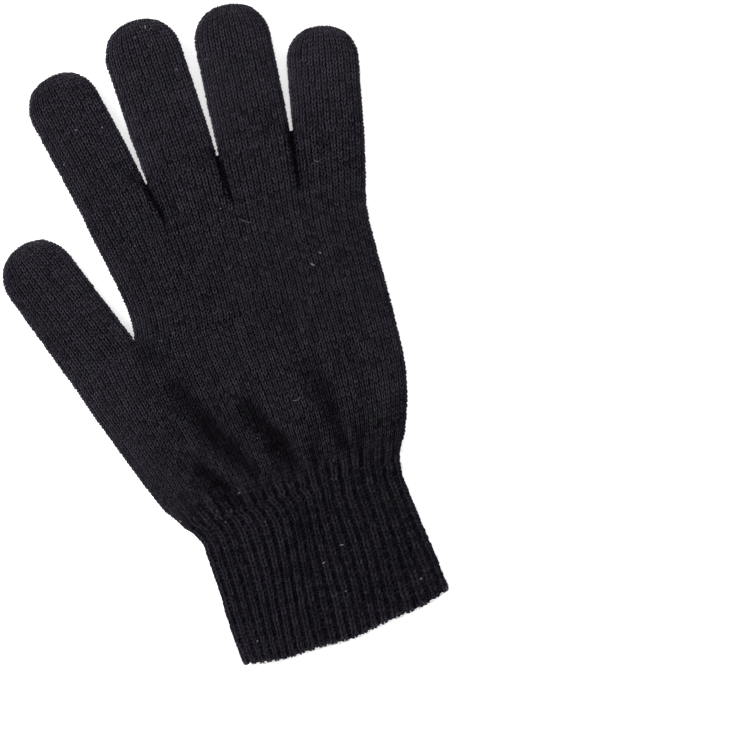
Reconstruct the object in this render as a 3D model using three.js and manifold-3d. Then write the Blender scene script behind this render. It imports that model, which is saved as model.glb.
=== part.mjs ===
// A stretch-knit winter glove with a ribbed cuff, lying flat with its back up.
// Millimetres. X points across the hand away from the thumb, Y from the cuff to the fingertips, Z up.
// The origin is the middle of the palm's underside, where the glove rests.
import * as THREE from "three";
import { mergeVertices } from "three/addons/utils/BufferGeometryUtils.js";
import Module from "manifold-3d";

const wasm = await Module();
wasm.setup();

// Knit and clearances
const KNIT_WALL = 1.6;
const RIB_WALL = 2.0;
const RIB_DEPTH = 1.0;
const RIB_PITCH = 3.75;
const PIECE_GAP = 0.3;

// Hand
const PALM_WIDTH = 89;
const PALM_LENGTH = 118;
const PALM_HEIGHT = 9.4;

// Cuff
const CUFF_WIDTH = 74;
const CUFF_LENGTH = 51;
const CUFF_HEIGHT = 9.4;
const HEM_BOW = 4;

// Fingers
const INDEX_LENGTH = 49.2;
const MIDDLE_LENGTH = 56.4;
const RING_LENGTH = 50.6;
const LITTLE_LENGTH = 35.6;
const FINGER_HEIGHT = 8.2;

// The fingers in their row across the palm: wide is a share of the palm's width, lean is in degrees towards
// the thumb, and rise is how far the root stands above the knuckle line, as a share of the palm's length
const FINGERS = [
  { name: "index_finger", length: INDEX_LENGTH, wide: 0.28, lean: 13.3, rise: -0.05 },
  { name: "middle_finger", length: MIDDLE_LENGTH, wide: 0.3, lean: 3.4, rise: -0.017 },
  { name: "ring_finger", length: RING_LENGTH, wide: 0.301, lean: -3.2, rise: 0.0085 },
  { name: "little_finger", length: LITTLE_LENGTH, wide: 0.283, lean: -11.8, rise: 0.0034 },
];
const FINGER_ROW_SHIFT = 0.017;
const FINGER_TAPER = 0.97;

// Thumb
const THUMB_WIDTH = 25.6;
const THUMB_LENGTH = 52.9;
const THUMB_LEAN = 21.5;

// How far each finger's root belongs to the hand, above the root line and down inside the palm
const ROOT_STUB = 6;
const ROOT_REACH = 20;
const TIP_ROUND_HEIGHT = 5;

// The palm and cuff press flat on the surface, the fingers and thumb lie this much lighter
const FINGER_LIFT = 0.12;
const TIP_LIFT_SHARE = 0.4;

// Section shapes: the power makes flat tops with round sides, the flatness spreads the resting face
const FINGER_POWER = 3;
const HAND_POWER = 7;
const RESTING_FLATNESS = 1.4;

// Grid steps
const FINGER_TOP_STEPS = 10;
const FINGER_BOTTOM_STEPS = 8;
const HAND_TOP_STEPS = 32;
const HAND_BOTTOM_STEPS = 10;
const HAND_ROWS = 18;
const STEPS_PER_RIB = 4;
const OVERRUN = 2;

// Palm edges from the wrist to the knuckles: left, leftUp, right and rightUp are shares of the palm's width
// and length from its middle, bow is the row's rise in its middle as a share of the length, and full is a
// share of the height. The left edge carries the base of the thumb as far as the thumb's root.
const PALM_EDGES = [
  { left: -0.494, leftUp: -0.534, right: 0.409, rightUp: -0.486, bow: 0, full: 1 },
  { left: -0.566, leftUp: -0.445, right: 0.452, rightUp: -0.411, bow: 0, full: 1 },
  { left: -0.629, leftUp: -0.331, right: 0.492, rightUp: -0.318, bow: 0, full: 1 },
  { left: -0.676, leftUp: -0.229, right: 0.517, rightUp: -0.212, bow: 0, full: 1 },
  { left: -0.706, leftUp: -0.148, right: 0.522, rightUp: -0.102, bow: 0, full: 0.98 },
  { left: -0.59, leftUp: -0.068, right: 0.524, rightUp: -0.03, bow: 0, full: 0.96 },
  { left: -0.487, leftUp: 0.025, right: 0.524, rightUp: 0.04, bow: 0, full: 0.95 },
  { left: -0.479, leftUp: 0.1, right: 0.524, rightUp: 0.12, bow: 0.01, full: 0.95 },
  { left: -0.49, leftUp: 0.18, right: 0.525, rightUp: 0.2, bow: 0.02, full: 0.94 },
  { left: -0.513, leftUp: 0.26, right: 0.535, rightUp: 0.27, bow: 0.03, full: 0.93 },
  { left: -0.529, leftUp: 0.33, right: 0.557, rightUp: 0.345, bow: 0.035, full: 0.88 },
  { left: -0.53, leftUp: 0.375, right: 0.564, rightUp: 0.405, bow: 0.045, full: 0.74 },
  { left: -0.526, leftUp: 0.405, right: 0.57, rightUp: 0.46, bow: 0.047, full: 0.52 },
];

// Cuff rows below the wrist, which has the hand's own section: down is a share of the cuff's length, middle
// of its width from the wrist's middle, wide of its width, turn in degrees, and rib of the ribs' depth.
const WRIST_RIB = 0.15;
const CUFF_ROWS = [
  { down: 0.06, middle: 0.012, wide: 1.035, turn: 4.3, rib: 0.6 },
  { down: 0.14, middle: 0.022, wide: 1.0, turn: 4.6, rib: 1 },
  { down: 0.45, middle: 0.042, wide: 0.992, turn: 5.2, rib: 1 },
  { down: 0.75, middle: 0.066, wide: 0.998, turn: 5.4, rib: 1 },
  { down: 1, middle: 0.086, wide: 1, turn: 5.4, rib: 1 },
];

// Folds gathered in above the ribs and at the thumb: the ends of each fold as shares of the palm's width
// and length from its middle, its half width as a share of the palm's width and its depth of the height.
const FOLDS = [
  { x0: -0.354, y0: -0.193, x1: -0.202, y1: -0.417, half: 0.05, deep: 0.19 },
  { x0: -0.067, y0: -0.291, x1: -0.008, y1: -0.444, half: 0.06, deep: 0.2 },
  { x0: -0.313, y0: -0.4, x1: -0.27, y1: -0.475, half: 0.04, deep: 0.17 },
  { x0: 0.193, y0: -0.233, x1: 0.196, y1: -0.386, half: 0.05, deep: 0.13 },
  { x0: -0.462, y0: 0.0, x1: -0.37, y1: -0.1, half: 0.045, deep: 0.13 },
];

const radians = THREE.MathUtils.degToRad;
const lerp = THREE.MathUtils.lerp;

// Half the height of a section at a share of its half width
const roundness = (share, power) => Math.sqrt(Math.max(0, 1 - Math.abs(share) ** power));

// One closed section as [across, z] pairs: a domed top from right to left, then a flat underside back
function section({ half, low, height, power, topSteps, bottomSteps }) {
  const points = [];
  const middle = low + height / 2;
  for (let i = 0; i < topSteps; i++) {
    const share = Math.cos((Math.PI * i) / topSteps);
    points.push([half * share, middle + (height / 2) * roundness(share, power)]);
  }
  for (let i = 0; i < bottomSteps; i++) {
    const share = -Math.cos((Math.PI * i) / bottomSteps);
    const drop = Math.min(1, RESTING_FLATNESS * roundness(share, power));
    points.push([half * share, middle - (height / 2) * drop]);
  }
  return points;
}

// A closed skin through loops with the same number of points. It closes in a point beyond each end where
// one is given, and otherwise joins its last loop to its first.
function skin(loops, firstPoint, lastPoint) {
  const count = loops[0].length;
  const positions = loops.flat().flatMap((p) => [p.x, p.y, p.z]);
  const faces = [];
  const at = (row, i) => (row % loops.length) * count + (i % count);
  const rows = firstPoint ? loops.length - 1 : loops.length;
  for (let row = 0; row < rows; row++) {
    for (let i = 0; i < count; i++) {
      faces.push(at(row, i), at(row + 1, i + 1), at(row, i + 1));
      faces.push(at(row, i), at(row + 1, i), at(row + 1, i + 1));
    }
  }
  if (firstPoint) {
    const first = positions.push(firstPoint.x, firstPoint.y, firstPoint.z) / 3 - 1;
    const last = positions.push(lastPoint.x, lastPoint.y, lastPoint.z) / 3 - 1;
    for (let i = 0; i < count; i++) {
      faces.push(first, at(0, i), at(0, i + 1));
      faces.push(last, at(loops.length - 1, i + 1), at(loops.length - 1, i));
    }
  }
  const geometry = new THREE.BufferGeometry();
  geometry.setAttribute("position", new THREE.Float32BufferAttribute(positions, 3));
  geometry.setIndex(faces);
  return geometry;
}

// The middle of a loop
function middleOf(loop) {
  const sum = loop.reduce((total, p) => total.add(p), new THREE.Vector3());
  return sum.divideScalar(loop.length);
}

function toSolid(geometry) {
  const merged = mergeVertices(geometry, 1e-4);
  const mesh = new wasm.Mesh({
    numProp: 3,
    vertProperties: new Float32Array(merged.attributes.position.array),
    triVerts: new Uint32Array(merged.index.array),
  });
  return new wasm.Manifold(mesh);
}

function toGeometry(solid) {
  const mesh = solid.getMesh();
  const geometry = new THREE.BufferGeometry();
  geometry.setAttribute("position", new THREE.BufferAttribute(mesh.vertProperties, 3));
  geometry.setIndex(new THREE.BufferAttribute(mesh.triVerts, 1));
  return geometry;
}

// Depth of the gathered folds at a place on the back of the hand
function foldDepth(x, y) {
  return FOLDS.reduce((deepest, fold) => {
    const start = new THREE.Vector2(fold.x0 * PALM_WIDTH, fold.y0 * PALM_LENGTH);
    const run = new THREE.Vector2(fold.x1 * PALM_WIDTH, fold.y1 * PALM_LENGTH).sub(start);
    const to = new THREE.Vector2(x, y).sub(start);
    const share = THREE.MathUtils.clamp(to.dot(run) / run.lengthSq(), 0, 1);
    const away = to.sub(run.multiplyScalar(share)).length() / (fold.half * PALM_WIDTH);
    return Math.max(deepest, fold.deep * PALM_HEIGHT * Math.exp(-away * away));
  }, 0);
}

// A finger or the thumb as a limb: its root point, lean and sizes
function limbOf({ name, x, y, width, length, lean }) {
  return { name, x, y, width, length, lean: radians(lean) };
}

// One loop of a limb at a distance along it, set in from its outside by a wall
function limbLoop(limb, along, inset) {
  const length = limb.length - inset;
  const tipRadius = limb.width / 2 - inset;
  const past = Math.max(0, along - (length - tipRadius)) / tipRadius;
  const taper = lerp(1, FINGER_TAPER, Math.max(0, along) / limb.length);
  const half = (limb.width / 2 - inset) * taper * Math.sqrt(Math.max(0, 1 - past * past));
  const nearTip = Math.max(0, along - (length - TIP_ROUND_HEIGHT)) / TIP_ROUND_HEIGHT;
  const full = FINGER_HEIGHT - 2 * inset;
  const height = full * Math.sqrt(Math.max(0, 1 - nearTip * nearTip));
  const low = FINGER_LIFT + inset + (full - height) * TIP_LIFT_SHARE;
  const loop = section({
    half,
    low,
    height,
    power: FINGER_POWER,
    topSteps: FINGER_TOP_STEPS,
    bottomSteps: FINGER_BOTTOM_STEPS,
  });
  const cos = Math.cos(limb.lean);
  const sin = Math.sin(limb.lean);
  return loop.map(
    ([across, z]) =>
      new THREE.Vector3(
        limb.x + across * cos - along * sin,
        limb.y + across * sin + along * cos,
        z,
      ),
  );
}

// The loops of a limb from a start to just short of its round tip, and the point that closes the tip
function limbLoops(limb, start, inset) {
  const length = limb.length - inset;
  const tipRadius = limb.width / 2 - inset;
  const shank = length - tipRadius;
  const stations = [0, 0.34, 0.67, 1].map((share) => lerp(start, shank, share));
  for (const degrees of [22, 42, 58, 71, 82]) {
    stations.push(shank + tipRadius * Math.sin(radians(degrees)));
  }
  const loops = stations.map((along) => limbLoop(limb, along, inset));
  const tip = middleOf(limbLoop(limb, length - 1e-3, inset));
  return { loops, tip };
}

// A hollow limb open at its root
function limbGeometry(limb) {
  const start = ROOT_STUB + PIECE_GAP;
  const outer = limbLoops(limb, start, 0);
  const inner = limbLoops(limb, start, KNIT_WALL);
  const loops = [...inner.loops.reverse(), ...outer.loops];
  return skin(loops, inner.tip, outer.tip);
}

// The stub of a limb that is knitted into the hand, solid, set in from its outside by a wall
function stubSolid(limb, end, inset) {
  const reach = Math.min(ROOT_REACH, limb.length);
  const loops = [-reach + inset, -reach / 2, 0, end].map((along) => limbLoop(limb, along, inset));
  return toSolid(skin(loops, middleOf(loops[0]), middleOf(loops[loops.length - 1])));
}

// The palm's rows: where its edges, bow and height stand at each step from the wrist to the knuckles
function palmRows() {
  const edge = (across, up) =>
    new THREE.CatmullRomCurve3(
      PALM_EDGES.map((row) => new THREE.Vector3(row[across] * PALM_WIDTH, row[up] * PALM_LENGTH, 0)),
      false,
      "centripetal",
    );
  const left = edge("left", "leftUp");
  const right = edge("right", "rightUp");
  return Array.from({ length: HAND_ROWS }, (_, i) => {
    const share = i / (HAND_ROWS - 1);
    const place = share * (PALM_EDGES.length - 1);
    const row = Math.min(PALM_EDGES.length - 2, Math.floor(place));
    const between = (key) => lerp(PALM_EDGES[row][key], PALM_EDGES[row + 1][key], place - row);
    return {
      left: left.getPoint(share),
      right: right.getPoint(share),
      bow: between("bow") * PALM_LENGTH,
      height: between("full") * PALM_HEIGHT,
    };
  });
}

// One loop across the palm, set in from its outside by a wall
function palmLoop(row, inset) {
  const middle = row.left.clone().add(row.right).multiplyScalar(0.5);
  const across = row.right.clone().sub(row.left);
  const half = across.length() / 2 - inset;
  across.normalize();
  return section({
    half,
    low: inset,
    height: row.height - 2 * inset,
    power: HAND_POWER,
    topSteps: HAND_TOP_STEPS,
    bottomSteps: HAND_BOTTOM_STEPS,
  }).map(([reach, z]) => {
    const point = middle.clone().addScaledVector(across, reach);
    point.y += row.bow * (1 - (reach / half) ** 2);
    const high = THREE.MathUtils.clamp((2 * z - row.height) / (row.height - 2 * inset), 0, 1);
    point.z = z - foldDepth(point.x, point.y) * high;
    return point;
  });
}

function palmSolid(rows, inset) {
  const loops = rows.map((row) => palmLoop(row, inset));
  return toSolid(skin(loops, middleOf(loops[0]), middleOf(loops[loops.length - 1])));
}

// The palm's hollow: it runs out through the wrist and stops a wall short of the knuckles
function palmHollow(rows) {
  const [first] = rows;
  const out = new THREE.Vector3().subVectors(first.right, first.left).normalize();
  out.set(out.y, -out.x, 0).multiplyScalar(OVERRUN);
  const beyond = { ...first, left: first.left.clone().add(out), right: first.right.clone().add(out) };
  const inside = rows.slice(1, -1);
  const last = rows[rows.length - 1];
  const end = { ...last, left: last.left.clone(), right: last.right.clone() };
  end.left.y -= KNIT_WALL;
  end.right.y -= KNIT_WALL;
  return palmSolid([beyond, ...inside, end], KNIT_WALL);
}

// The hand: the palm with the stubs of its fingers and thumb, hollow inside and open at each root
function handGeometry(limbs) {
  const rows = palmRows();
  let hand = palmSolid(rows, 0);
  let hollow = palmHollow(rows);
  for (const limb of limbs) {
    hand = hand.add(stubSolid(limb, ROOT_STUB, 0));
    hollow = hollow.add(stubSolid(limb, ROOT_STUB + OVERRUN, KNIT_WALL));
  }
  return toGeometry(hand.subtract(hollow));
}

// A closed section walked at even steps of its own length, each point with its outward normal
function evenSection(shape, count) {
  const fine = section({ ...shape, topSteps: 180, bottomSteps: 180 });
  const path = new THREE.CurvePath();
  fine.forEach(([x, y], i) => {
    const [nextX, nextY] = fine[(i + 1) % fine.length];
    path.add(new THREE.LineCurve(new THREE.Vector2(x, y), new THREE.Vector2(nextX, nextY)));
  });
  return Array.from({ length: count }, (_, i) => {
    const point = path.getPoint(i / count);
    const before = path.getPoint((i / count + 1 - 0.25 / count) % 1);
    const after = path.getPoint((i / count + 0.25 / count) % 1);
    const normal = after.sub(before).normalize();
    normal.set(normal.y, -normal.x);
    return { point, normal };
  });
}

// The cuff: a ribbed tube open at the wrist and at the hem. The ribs are sunk between crests that keep
// the outline, and the inside waves the other way, as a knitted rib does.
function cuffGeometry() {
  const around = 2 * CUFF_WIDTH + CUFF_HEIGHT;
  const ribs = Math.round(around / RIB_PITCH);
  const [first] = PALM_EDGES;
  const left = new THREE.Vector2(first.left * PALM_WIDTH, first.leftUp * PALM_LENGTH);
  const right = new THREE.Vector2(first.right * PALM_WIDTH, first.rightUp * PALM_LENGTH);
  const wrist = left.clone().add(right).multiplyScalar(0.5);
  const across = right.clone().sub(left);
  const rows = [
    {
      half: across.length() / 2,
      height: first.full * PALM_HEIGHT,
      turn: across.angle(),
      shift: 0,
      down: PIECE_GAP,
      share: 0,
      ribDepth: RIB_DEPTH * WRIST_RIB,
    },
  ];
  for (const row of CUFF_ROWS) {
    rows.push({
      half: (row.wide * CUFF_WIDTH) / 2,
      height: CUFF_HEIGHT,
      turn: radians(row.turn),
      shift: row.middle * CUFF_WIDTH,
      down: row.down * CUFF_LENGTH,
      share: row.down,
      ribDepth: RIB_DEPTH * row.rib,
    });
  }

  const rowLoop = (row, inside) =>
    evenSection({ half: row.half, low: 0, height: row.height, power: HAND_POWER }, ribs * STEPS_PER_RIB).map(
      ({ point, normal }, i) => {
        const wave = 0.5 - 0.5 * Math.cos((2 * Math.PI * i) / STEPS_PER_RIB);
        const sink = row.ribDepth * wave;
        const depth = inside ? RIB_WALL + sink / 2 : sink;
        const reach = point.x - normal.x * depth;
        const z = point.y - normal.y * depth;
        const bow = HEM_BOW * row.share ** 2 * Math.max(0, 1 - (reach / row.half) ** 2);
        const x = wrist.x + row.shift + reach * Math.cos(row.turn) + bow * Math.sin(row.turn);
        const y = wrist.y + reach * Math.sin(row.turn) - (row.down + bow) * Math.cos(row.turn);
        return new THREE.Vector3(x, y, z);
      },
    );
  const outer = rows.map((row) => rowLoop(row, false));
  const inner = [rows[0], rows[2], rows[rows.length - 1]].map((row) => rowLoop(row, true));
  return skin([...inner, ...outer.reverse()]);
}

// Where the fingers and the thumb spring from the hand
function limbsOfHand() {
  const widths = FINGERS.map((finger) => finger.wide * PALM_WIDTH);
  const spans = FINGERS.map((finger, i) => widths[i] / Math.cos(radians(finger.lean)));
  const row = spans.reduce((sum, span) => sum + span, 0);
  let left = FINGER_ROW_SHIFT * PALM_WIDTH - row / 2;
  const fingers = FINGERS.map((finger, i) => {
    const x = left + spans[i] / 2;
    left += spans[i];
    return limbOf({ ...finger, width: widths[i], x, y: (0.5 + finger.rise) * PALM_LENGTH });
  });
  const crotch = PALM_EDGES[6];
  const lean = radians(THUMB_LEAN);
  const thumb = limbOf({
    name: "thumb",
    width: THUMB_WIDTH,
    length: THUMB_LENGTH,
    lean: THUMB_LEAN,
    x: crotch.left * PALM_WIDTH - (THUMB_WIDTH / 2) * Math.cos(lean),
    y: crotch.leftUp * PALM_LENGTH - (THUMB_WIDTH / 2) * Math.sin(lean),
  });
  return [thumb, ...fingers];
}

function knitMesh(name, geometry, color) {
  const material = new THREE.MeshStandardMaterial({ color, roughness: 0.95, metalness: 0 });
  const mesh = new THREE.Mesh(geometry, material);
  mesh.name = name;
  return mesh;
}

const glove = new THREE.Group();
const limbs = limbsOfHand();
glove.add(knitMesh("cuff", cuffGeometry(), 0x1a181c));
glove.add(knitMesh("hand", handGeometry(limbs), 0x201d23));
for (const limb of limbs) {
  glove.add(knitMesh(limb.name, limbGeometry(limb), 0x252229));
}

export default glove;
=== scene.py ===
"""The looks of a stretch-knit winter glove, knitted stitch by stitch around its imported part.

Lengths in the classes are millimetres in the part's frame: +X across the hand away from the thumb, +Y from
the cuff to the fingertips, +Z up through the back of the hand. Meshes are written in metres. A wale is a
column of stitches along the glove, and a course is a row of them around it.
"""

from __future__ import annotations

import logging
import math
from collections.abc import Callable
from dataclasses import dataclass, field, replace
from enum import Enum

import bmesh
import bpy
import numpy as np
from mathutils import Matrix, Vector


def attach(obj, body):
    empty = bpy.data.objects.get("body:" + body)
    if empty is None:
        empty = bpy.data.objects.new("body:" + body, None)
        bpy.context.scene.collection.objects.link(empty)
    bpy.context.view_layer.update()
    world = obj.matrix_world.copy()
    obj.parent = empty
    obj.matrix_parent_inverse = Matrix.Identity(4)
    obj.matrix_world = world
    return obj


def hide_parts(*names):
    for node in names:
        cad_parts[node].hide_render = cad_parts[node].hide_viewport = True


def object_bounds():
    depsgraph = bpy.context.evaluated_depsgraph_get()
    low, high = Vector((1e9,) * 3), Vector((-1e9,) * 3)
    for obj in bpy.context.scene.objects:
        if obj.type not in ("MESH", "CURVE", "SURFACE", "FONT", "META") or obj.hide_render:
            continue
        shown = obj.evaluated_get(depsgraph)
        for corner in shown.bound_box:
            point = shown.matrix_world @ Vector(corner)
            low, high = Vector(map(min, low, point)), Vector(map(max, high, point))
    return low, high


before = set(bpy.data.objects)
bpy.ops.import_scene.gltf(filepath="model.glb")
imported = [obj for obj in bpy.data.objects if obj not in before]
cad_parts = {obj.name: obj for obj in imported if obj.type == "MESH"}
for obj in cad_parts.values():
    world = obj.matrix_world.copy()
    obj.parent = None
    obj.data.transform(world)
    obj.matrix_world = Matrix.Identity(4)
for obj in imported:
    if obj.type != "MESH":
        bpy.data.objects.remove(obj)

log = logging.getLogger("glove")

MM = 0.001
SEED = 1204
UV_MAP = "OFBake"
UV_MARGIN = 0.96
# The tone attribute holds the yarn's own varying paleness together with painted light on crests and rims and
# painted shade in hollows and the wall.
TONE = "tone"
# The attribute that holds painted shade: darkening painted into the creases, the gathers and the ribs'
# grooves.
PAINTED_FOLD_SHADE = "fold"
LINT_TONE = 1.5
CAD_BOX = [list(corner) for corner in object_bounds()]
COURSE = 1.42
INSET = 0.42
SIDE_INSET = 0.12


class Side(Enum):
    """The two faces of the glove as it lies."""

    BACK = "back"
    UNDER = "under"


class Shader:
    """A shader value that adds Math nodes as it is used in a sum."""

    def __init__(self, tree: bpy.types.NodeTree, socket: bpy.types.NodeSocket) -> None:
        """Wraps one output socket.

        Args:
            tree: the material's nodes.
            socket: the output that the value comes from.
        """
        self.tree = tree
        self.socket = socket

    def _math(self, operation: str, first: Shader | float, second: Shader | float = 0.0) -> Shader:
        """Adds one Math node.

        Args:
            operation: the Math node's operation.
            first: its first value.
            second: its second value.

        Returns:
            The node's result.
        """
        node = self.tree.nodes.new("ShaderNodeMath")
        node.operation = operation
        for slot, value in enumerate((first, second)):
            if isinstance(value, Shader):
                self.tree.links.new(value.socket, node.inputs[slot])
            else:
                node.inputs[slot].default_value = value
        return Shader(self.tree, node.outputs[0])

    def __add__(self, other: Shader | float) -> Shader:
        """The sum with another value."""
        return self._math("ADD", self, other)

    def __radd__(self, other: float) -> Shader:
        """The sum with a number on the left."""
        return self._math("ADD", other, self)

    def __sub__(self, other: Shader | float) -> Shader:
        """The difference from another value."""
        return self._math("SUBTRACT", self, other)

    def __rsub__(self, other: float) -> Shader:
        """The difference of a number on the left."""
        return self._math("SUBTRACT", other, self)

    def __mul__(self, other: Shader | float) -> Shader:
        """The product with another value."""
        return self._math("MULTIPLY", self, other)

    def __rmul__(self, other: float) -> Shader:
        """The product with a number on the left."""
        return self._math("MULTIPLY", other, self)

    def __gt__(self, other: Shader | float) -> Shader:
        """1 where this value is the greater, and 0 elsewhere."""
        return self._math("GREATER_THAN", self, other)

    def __lt__(self, other: Shader | float) -> Shader:
        """1 where this value is the lesser, and 0 elsewhere."""
        return self._math("LESS_THAN", self, other)


class NodeKit:
    """Builds the nodes of one material."""

    def __init__(self, name: str) -> None:
        """Starts an empty material.

        Args:
            name: the material's name.
        """
        self.material = bpy.data.materials.new(name)
        self.material.use_nodes = True
        self.tree = self.material.node_tree
        self.tree.nodes.clear()

    def node(self, kind: str, settings: dict | None = None, inputs: dict | None = None) -> bpy.types.Node:
        """Adds any node.

        Args:
            kind: the node's type.
            settings: its own settings, which are made first.
            inputs: values or links by the name or number of their socket.

        Returns:
            The node.
        """
        made = self.tree.nodes.new(kind)
        for key, value in (settings or {}).items():
            setattr(made, key, value)
        for key, value in (inputs or {}).items():
            if isinstance(value, Shader):
                self.tree.links.new(value.socket, made.inputs[key])
            elif isinstance(value, bpy.types.NodeSocket):
                self.tree.links.new(value, made.inputs[key])
            else:
                made.inputs[key].default_value = value
        return made

    def value(self, node: bpy.types.Node, output: str | int = 0) -> Shader:
        """Takes one output of a node.

        Args:
            node: the node.
            output: the output's name or number.

        Returns:
            The output as a shader value.
        """
        return Shader(self.tree, node.outputs[output])

    def mix(self, factor: Shader | float, first: object, second: object) -> bpy.types.NodeSocket:
        """Mixes two colours.

        Args:
            factor: how much of the second colour shows.
            first: a colour or a colour socket.
            second: a colour or a colour socket.

        Returns:
            The mixed colour's socket.
        """
        settings = {"data_type": "RGBA", "clamp_factor": True}
        return self.node("ShaderNodeMix", settings, {0: factor, 6: first, 7: second}).outputs[2]

    def noise(self, place: bpy.types.NodeSocket, scale: float, roughness: float = 0.5) -> Shader:
        """Adds a noise texture.

        Args:
            place: the coordinates.
            scale: how fine the noise is.
            roughness: how much its finer layers show.

        Returns:
            Its value, around 0.5.
        """
        inputs = {"Vector": place, "Scale": scale, "Detail": 2.0, "Roughness": roughness}
        return self.value(self.node("ShaderNodeTexNoise", {"noise_dimensions": "3D"}, inputs))

    def finish(self, inputs: dict) -> bpy.types.Material:
        """Ends the material in a Principled shader.

        Args:
            inputs: the shader's values and links.

        Returns:
            The material.
        """
        shader = self.node("ShaderNodeBsdfPrincipled", {}, inputs)
        self.node("ShaderNodeOutputMaterial", {}, {"Surface": shader.outputs[0]})
        return self.material


@dataclass(frozen=True)
class YarnFinish:
    """A matt, slightly hairy yarn: its tone varies of its own, painted shade darkens it in its hollows and
    folds, and painted light makes it paler on its crests.
    """

    name: str
    # The first colour is the yarn in painted shade, the darkest it is painted; the crest colour is its
    # palest.
    shaded_hollow: tuple[float, float, float]
    crest: tuple[float, float, float]
    cast: tuple[float, float, float] = (0.0315, 0.0315, 0.0365)
    cast_contrast: float = 3.5
    cast_offset: tuple[float, float, float] = (0.31, 0.17, 0.0)
    lint: tuple[float, float, float] = (0.16, 0.145, 0.15)
    roughness: float = 0.95
    specular: float = 0.04
    sheen: float = 0.03
    sheen_tint: tuple[float, float, float] = (0.8, 0.75, 0.85)
    fibre_scale: float = 2900.0
    fibre_roughness: float = 0.7
    fibre_contrast: float = 1.7
    patch_scale: float = 120.0
    patch_contrast: float = 0.3
    cast_scale: float = 95.0
    lint_scale: float = 210.0
    lint_size: float = 0.04
    lint_share: float = 0.7
    bump: float = 0.5
    bump_depth: float = 0.0001

    def material(self) -> bpy.types.Material:
        """Builds the finish.

        Returns:
            The material.
        """
        kit = NodeKit(self.name)
        place = kit.node("ShaderNodeTexCoord").outputs["Object"]
        tone = kit.value(kit.node("ShaderNodeAttribute", {"attribute_name": TONE}), "Fac")
        fold = kit.value(kit.node("ShaderNodeAttribute", {"attribute_name": PAINTED_FOLD_SHADE}), "Fac")
        fibre = kit.noise(place, self.fibre_scale, self.fibre_roughness)
        patch = kit.noise(place, self.patch_scale)
        shade = tone + (fibre - 0.5) * self.fibre_contrast + (patch - 0.5) * self.patch_contrast
        shifted = kit.node("ShaderNodeMapping", {}, {"Vector": place, "Location": self.cast_offset})
        area = kit.noise(shifted.outputs[0], self.cast_scale)
        crest = kit.mix((area - 0.5) * self.cast_contrast, (*self.crest, 1), (*self.cast, 1))
        # The tone mixes from the darkest colour to the crest colour: the yarn's own varying tone, with
        # painted shade in the hollows and the wall and painted light on the crests and rims.
        yarn = kit.mix(shade, (*self.shaded_hollow, 1), crest)
        yarn = kit.mix(tone - LINT_TONE, yarn, (*self.lint, 1))
        # Painted shade of the creases, gathers and ribs' grooves darkens the yarn towards its darkest colour.
        yarn = kit.mix(fold, yarn, (*self.shaded_hollow, 1))
        spots = kit.node(
            "ShaderNodeTexVoronoi", {"voronoi_dimensions": "3D"}, {"Vector": place, "Scale": self.lint_scale}
        )
        chance = kit.node("ShaderNodeSeparateColor", {}, {0: spots.outputs["Color"]})
        spot = (kit.value(spots, "Distance") < self.lint_size) * (kit.value(chance, 0) > self.lint_share)
        colour = kit.mix(spot, yarn, (*self.lint, 1))
        bump = {"Strength": self.bump, "Distance": self.bump_depth, "Height": fibre}
        return kit.finish(
            {
                "Base Color": colour,
                "Roughness": self.roughness,
                "Specular IOR Level": self.specular,
                "Sheen Weight": self.sheen,
                "Sheen Roughness": 0.5,
                "Sheen Tint": (*self.sheen_tint, 1),
                "Normal": kit.node("ShaderNodeBump", {}, bump).outputs[0],
            }
        )


@dataclass(frozen=True)
class PlainFinish:
    """A plain matt finish, for the ground and for loose lint."""

    name: str
    colour: tuple[float, float, float]
    roughness: float = 0.9
    specular: float = 0.2
    glow: float = 0.0

    def material(self) -> bpy.types.Material:
        """Builds the finish.

        Returns:
            The material.
        """
        return NodeKit(self.name).finish(
            {
                "Base Color": (*self.colour, 1),
                "Roughness": self.roughness,
                "Specular IOR Level": self.specular,
                "Emission Color": (1, 1, 1, 1),
                "Emission Strength": self.glow,
            }
        )


def blank() -> bmesh.types.BMesh:
    """Starts an empty mesh to model in.

    Returns:
        The mesh, with the UV map.
    """
    bm = bmesh.new()
    bm.loops.layers.uv.new(UV_MAP)
    return bm


def ball(bm: bmesh.types.BMesh, sides: int, rings: int) -> list[bmesh.types.BMVert]:
    """Adds a ball with a radius of 1.

    Args:
        bm: the mesh to add it to.
        sides: how many sides go around it.
        rings: how many faces go from pole to pole.

    Returns:
        Its vertices.
    """
    made = bmesh.ops.create_uvsphere(bm, u_segments=sides, v_segments=rings, radius=1, calc_uvs=True)
    return made["verts"]


def finished(bm: bmesh.types.BMesh, name: str) -> bpy.types.Mesh:
    """Turns a model's normals outwards and makes a mesh of it.

    Args:
        bm: the model, which is freed.
        name: the mesh's name.

    Returns:
        The mesh.
    """
    bmesh.ops.recalc_face_normals(bm, faces=bm.faces)
    mesh = bpy.data.meshes.new(name)
    bm.to_mesh(mesh)
    bm.free()
    return mesh


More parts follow.
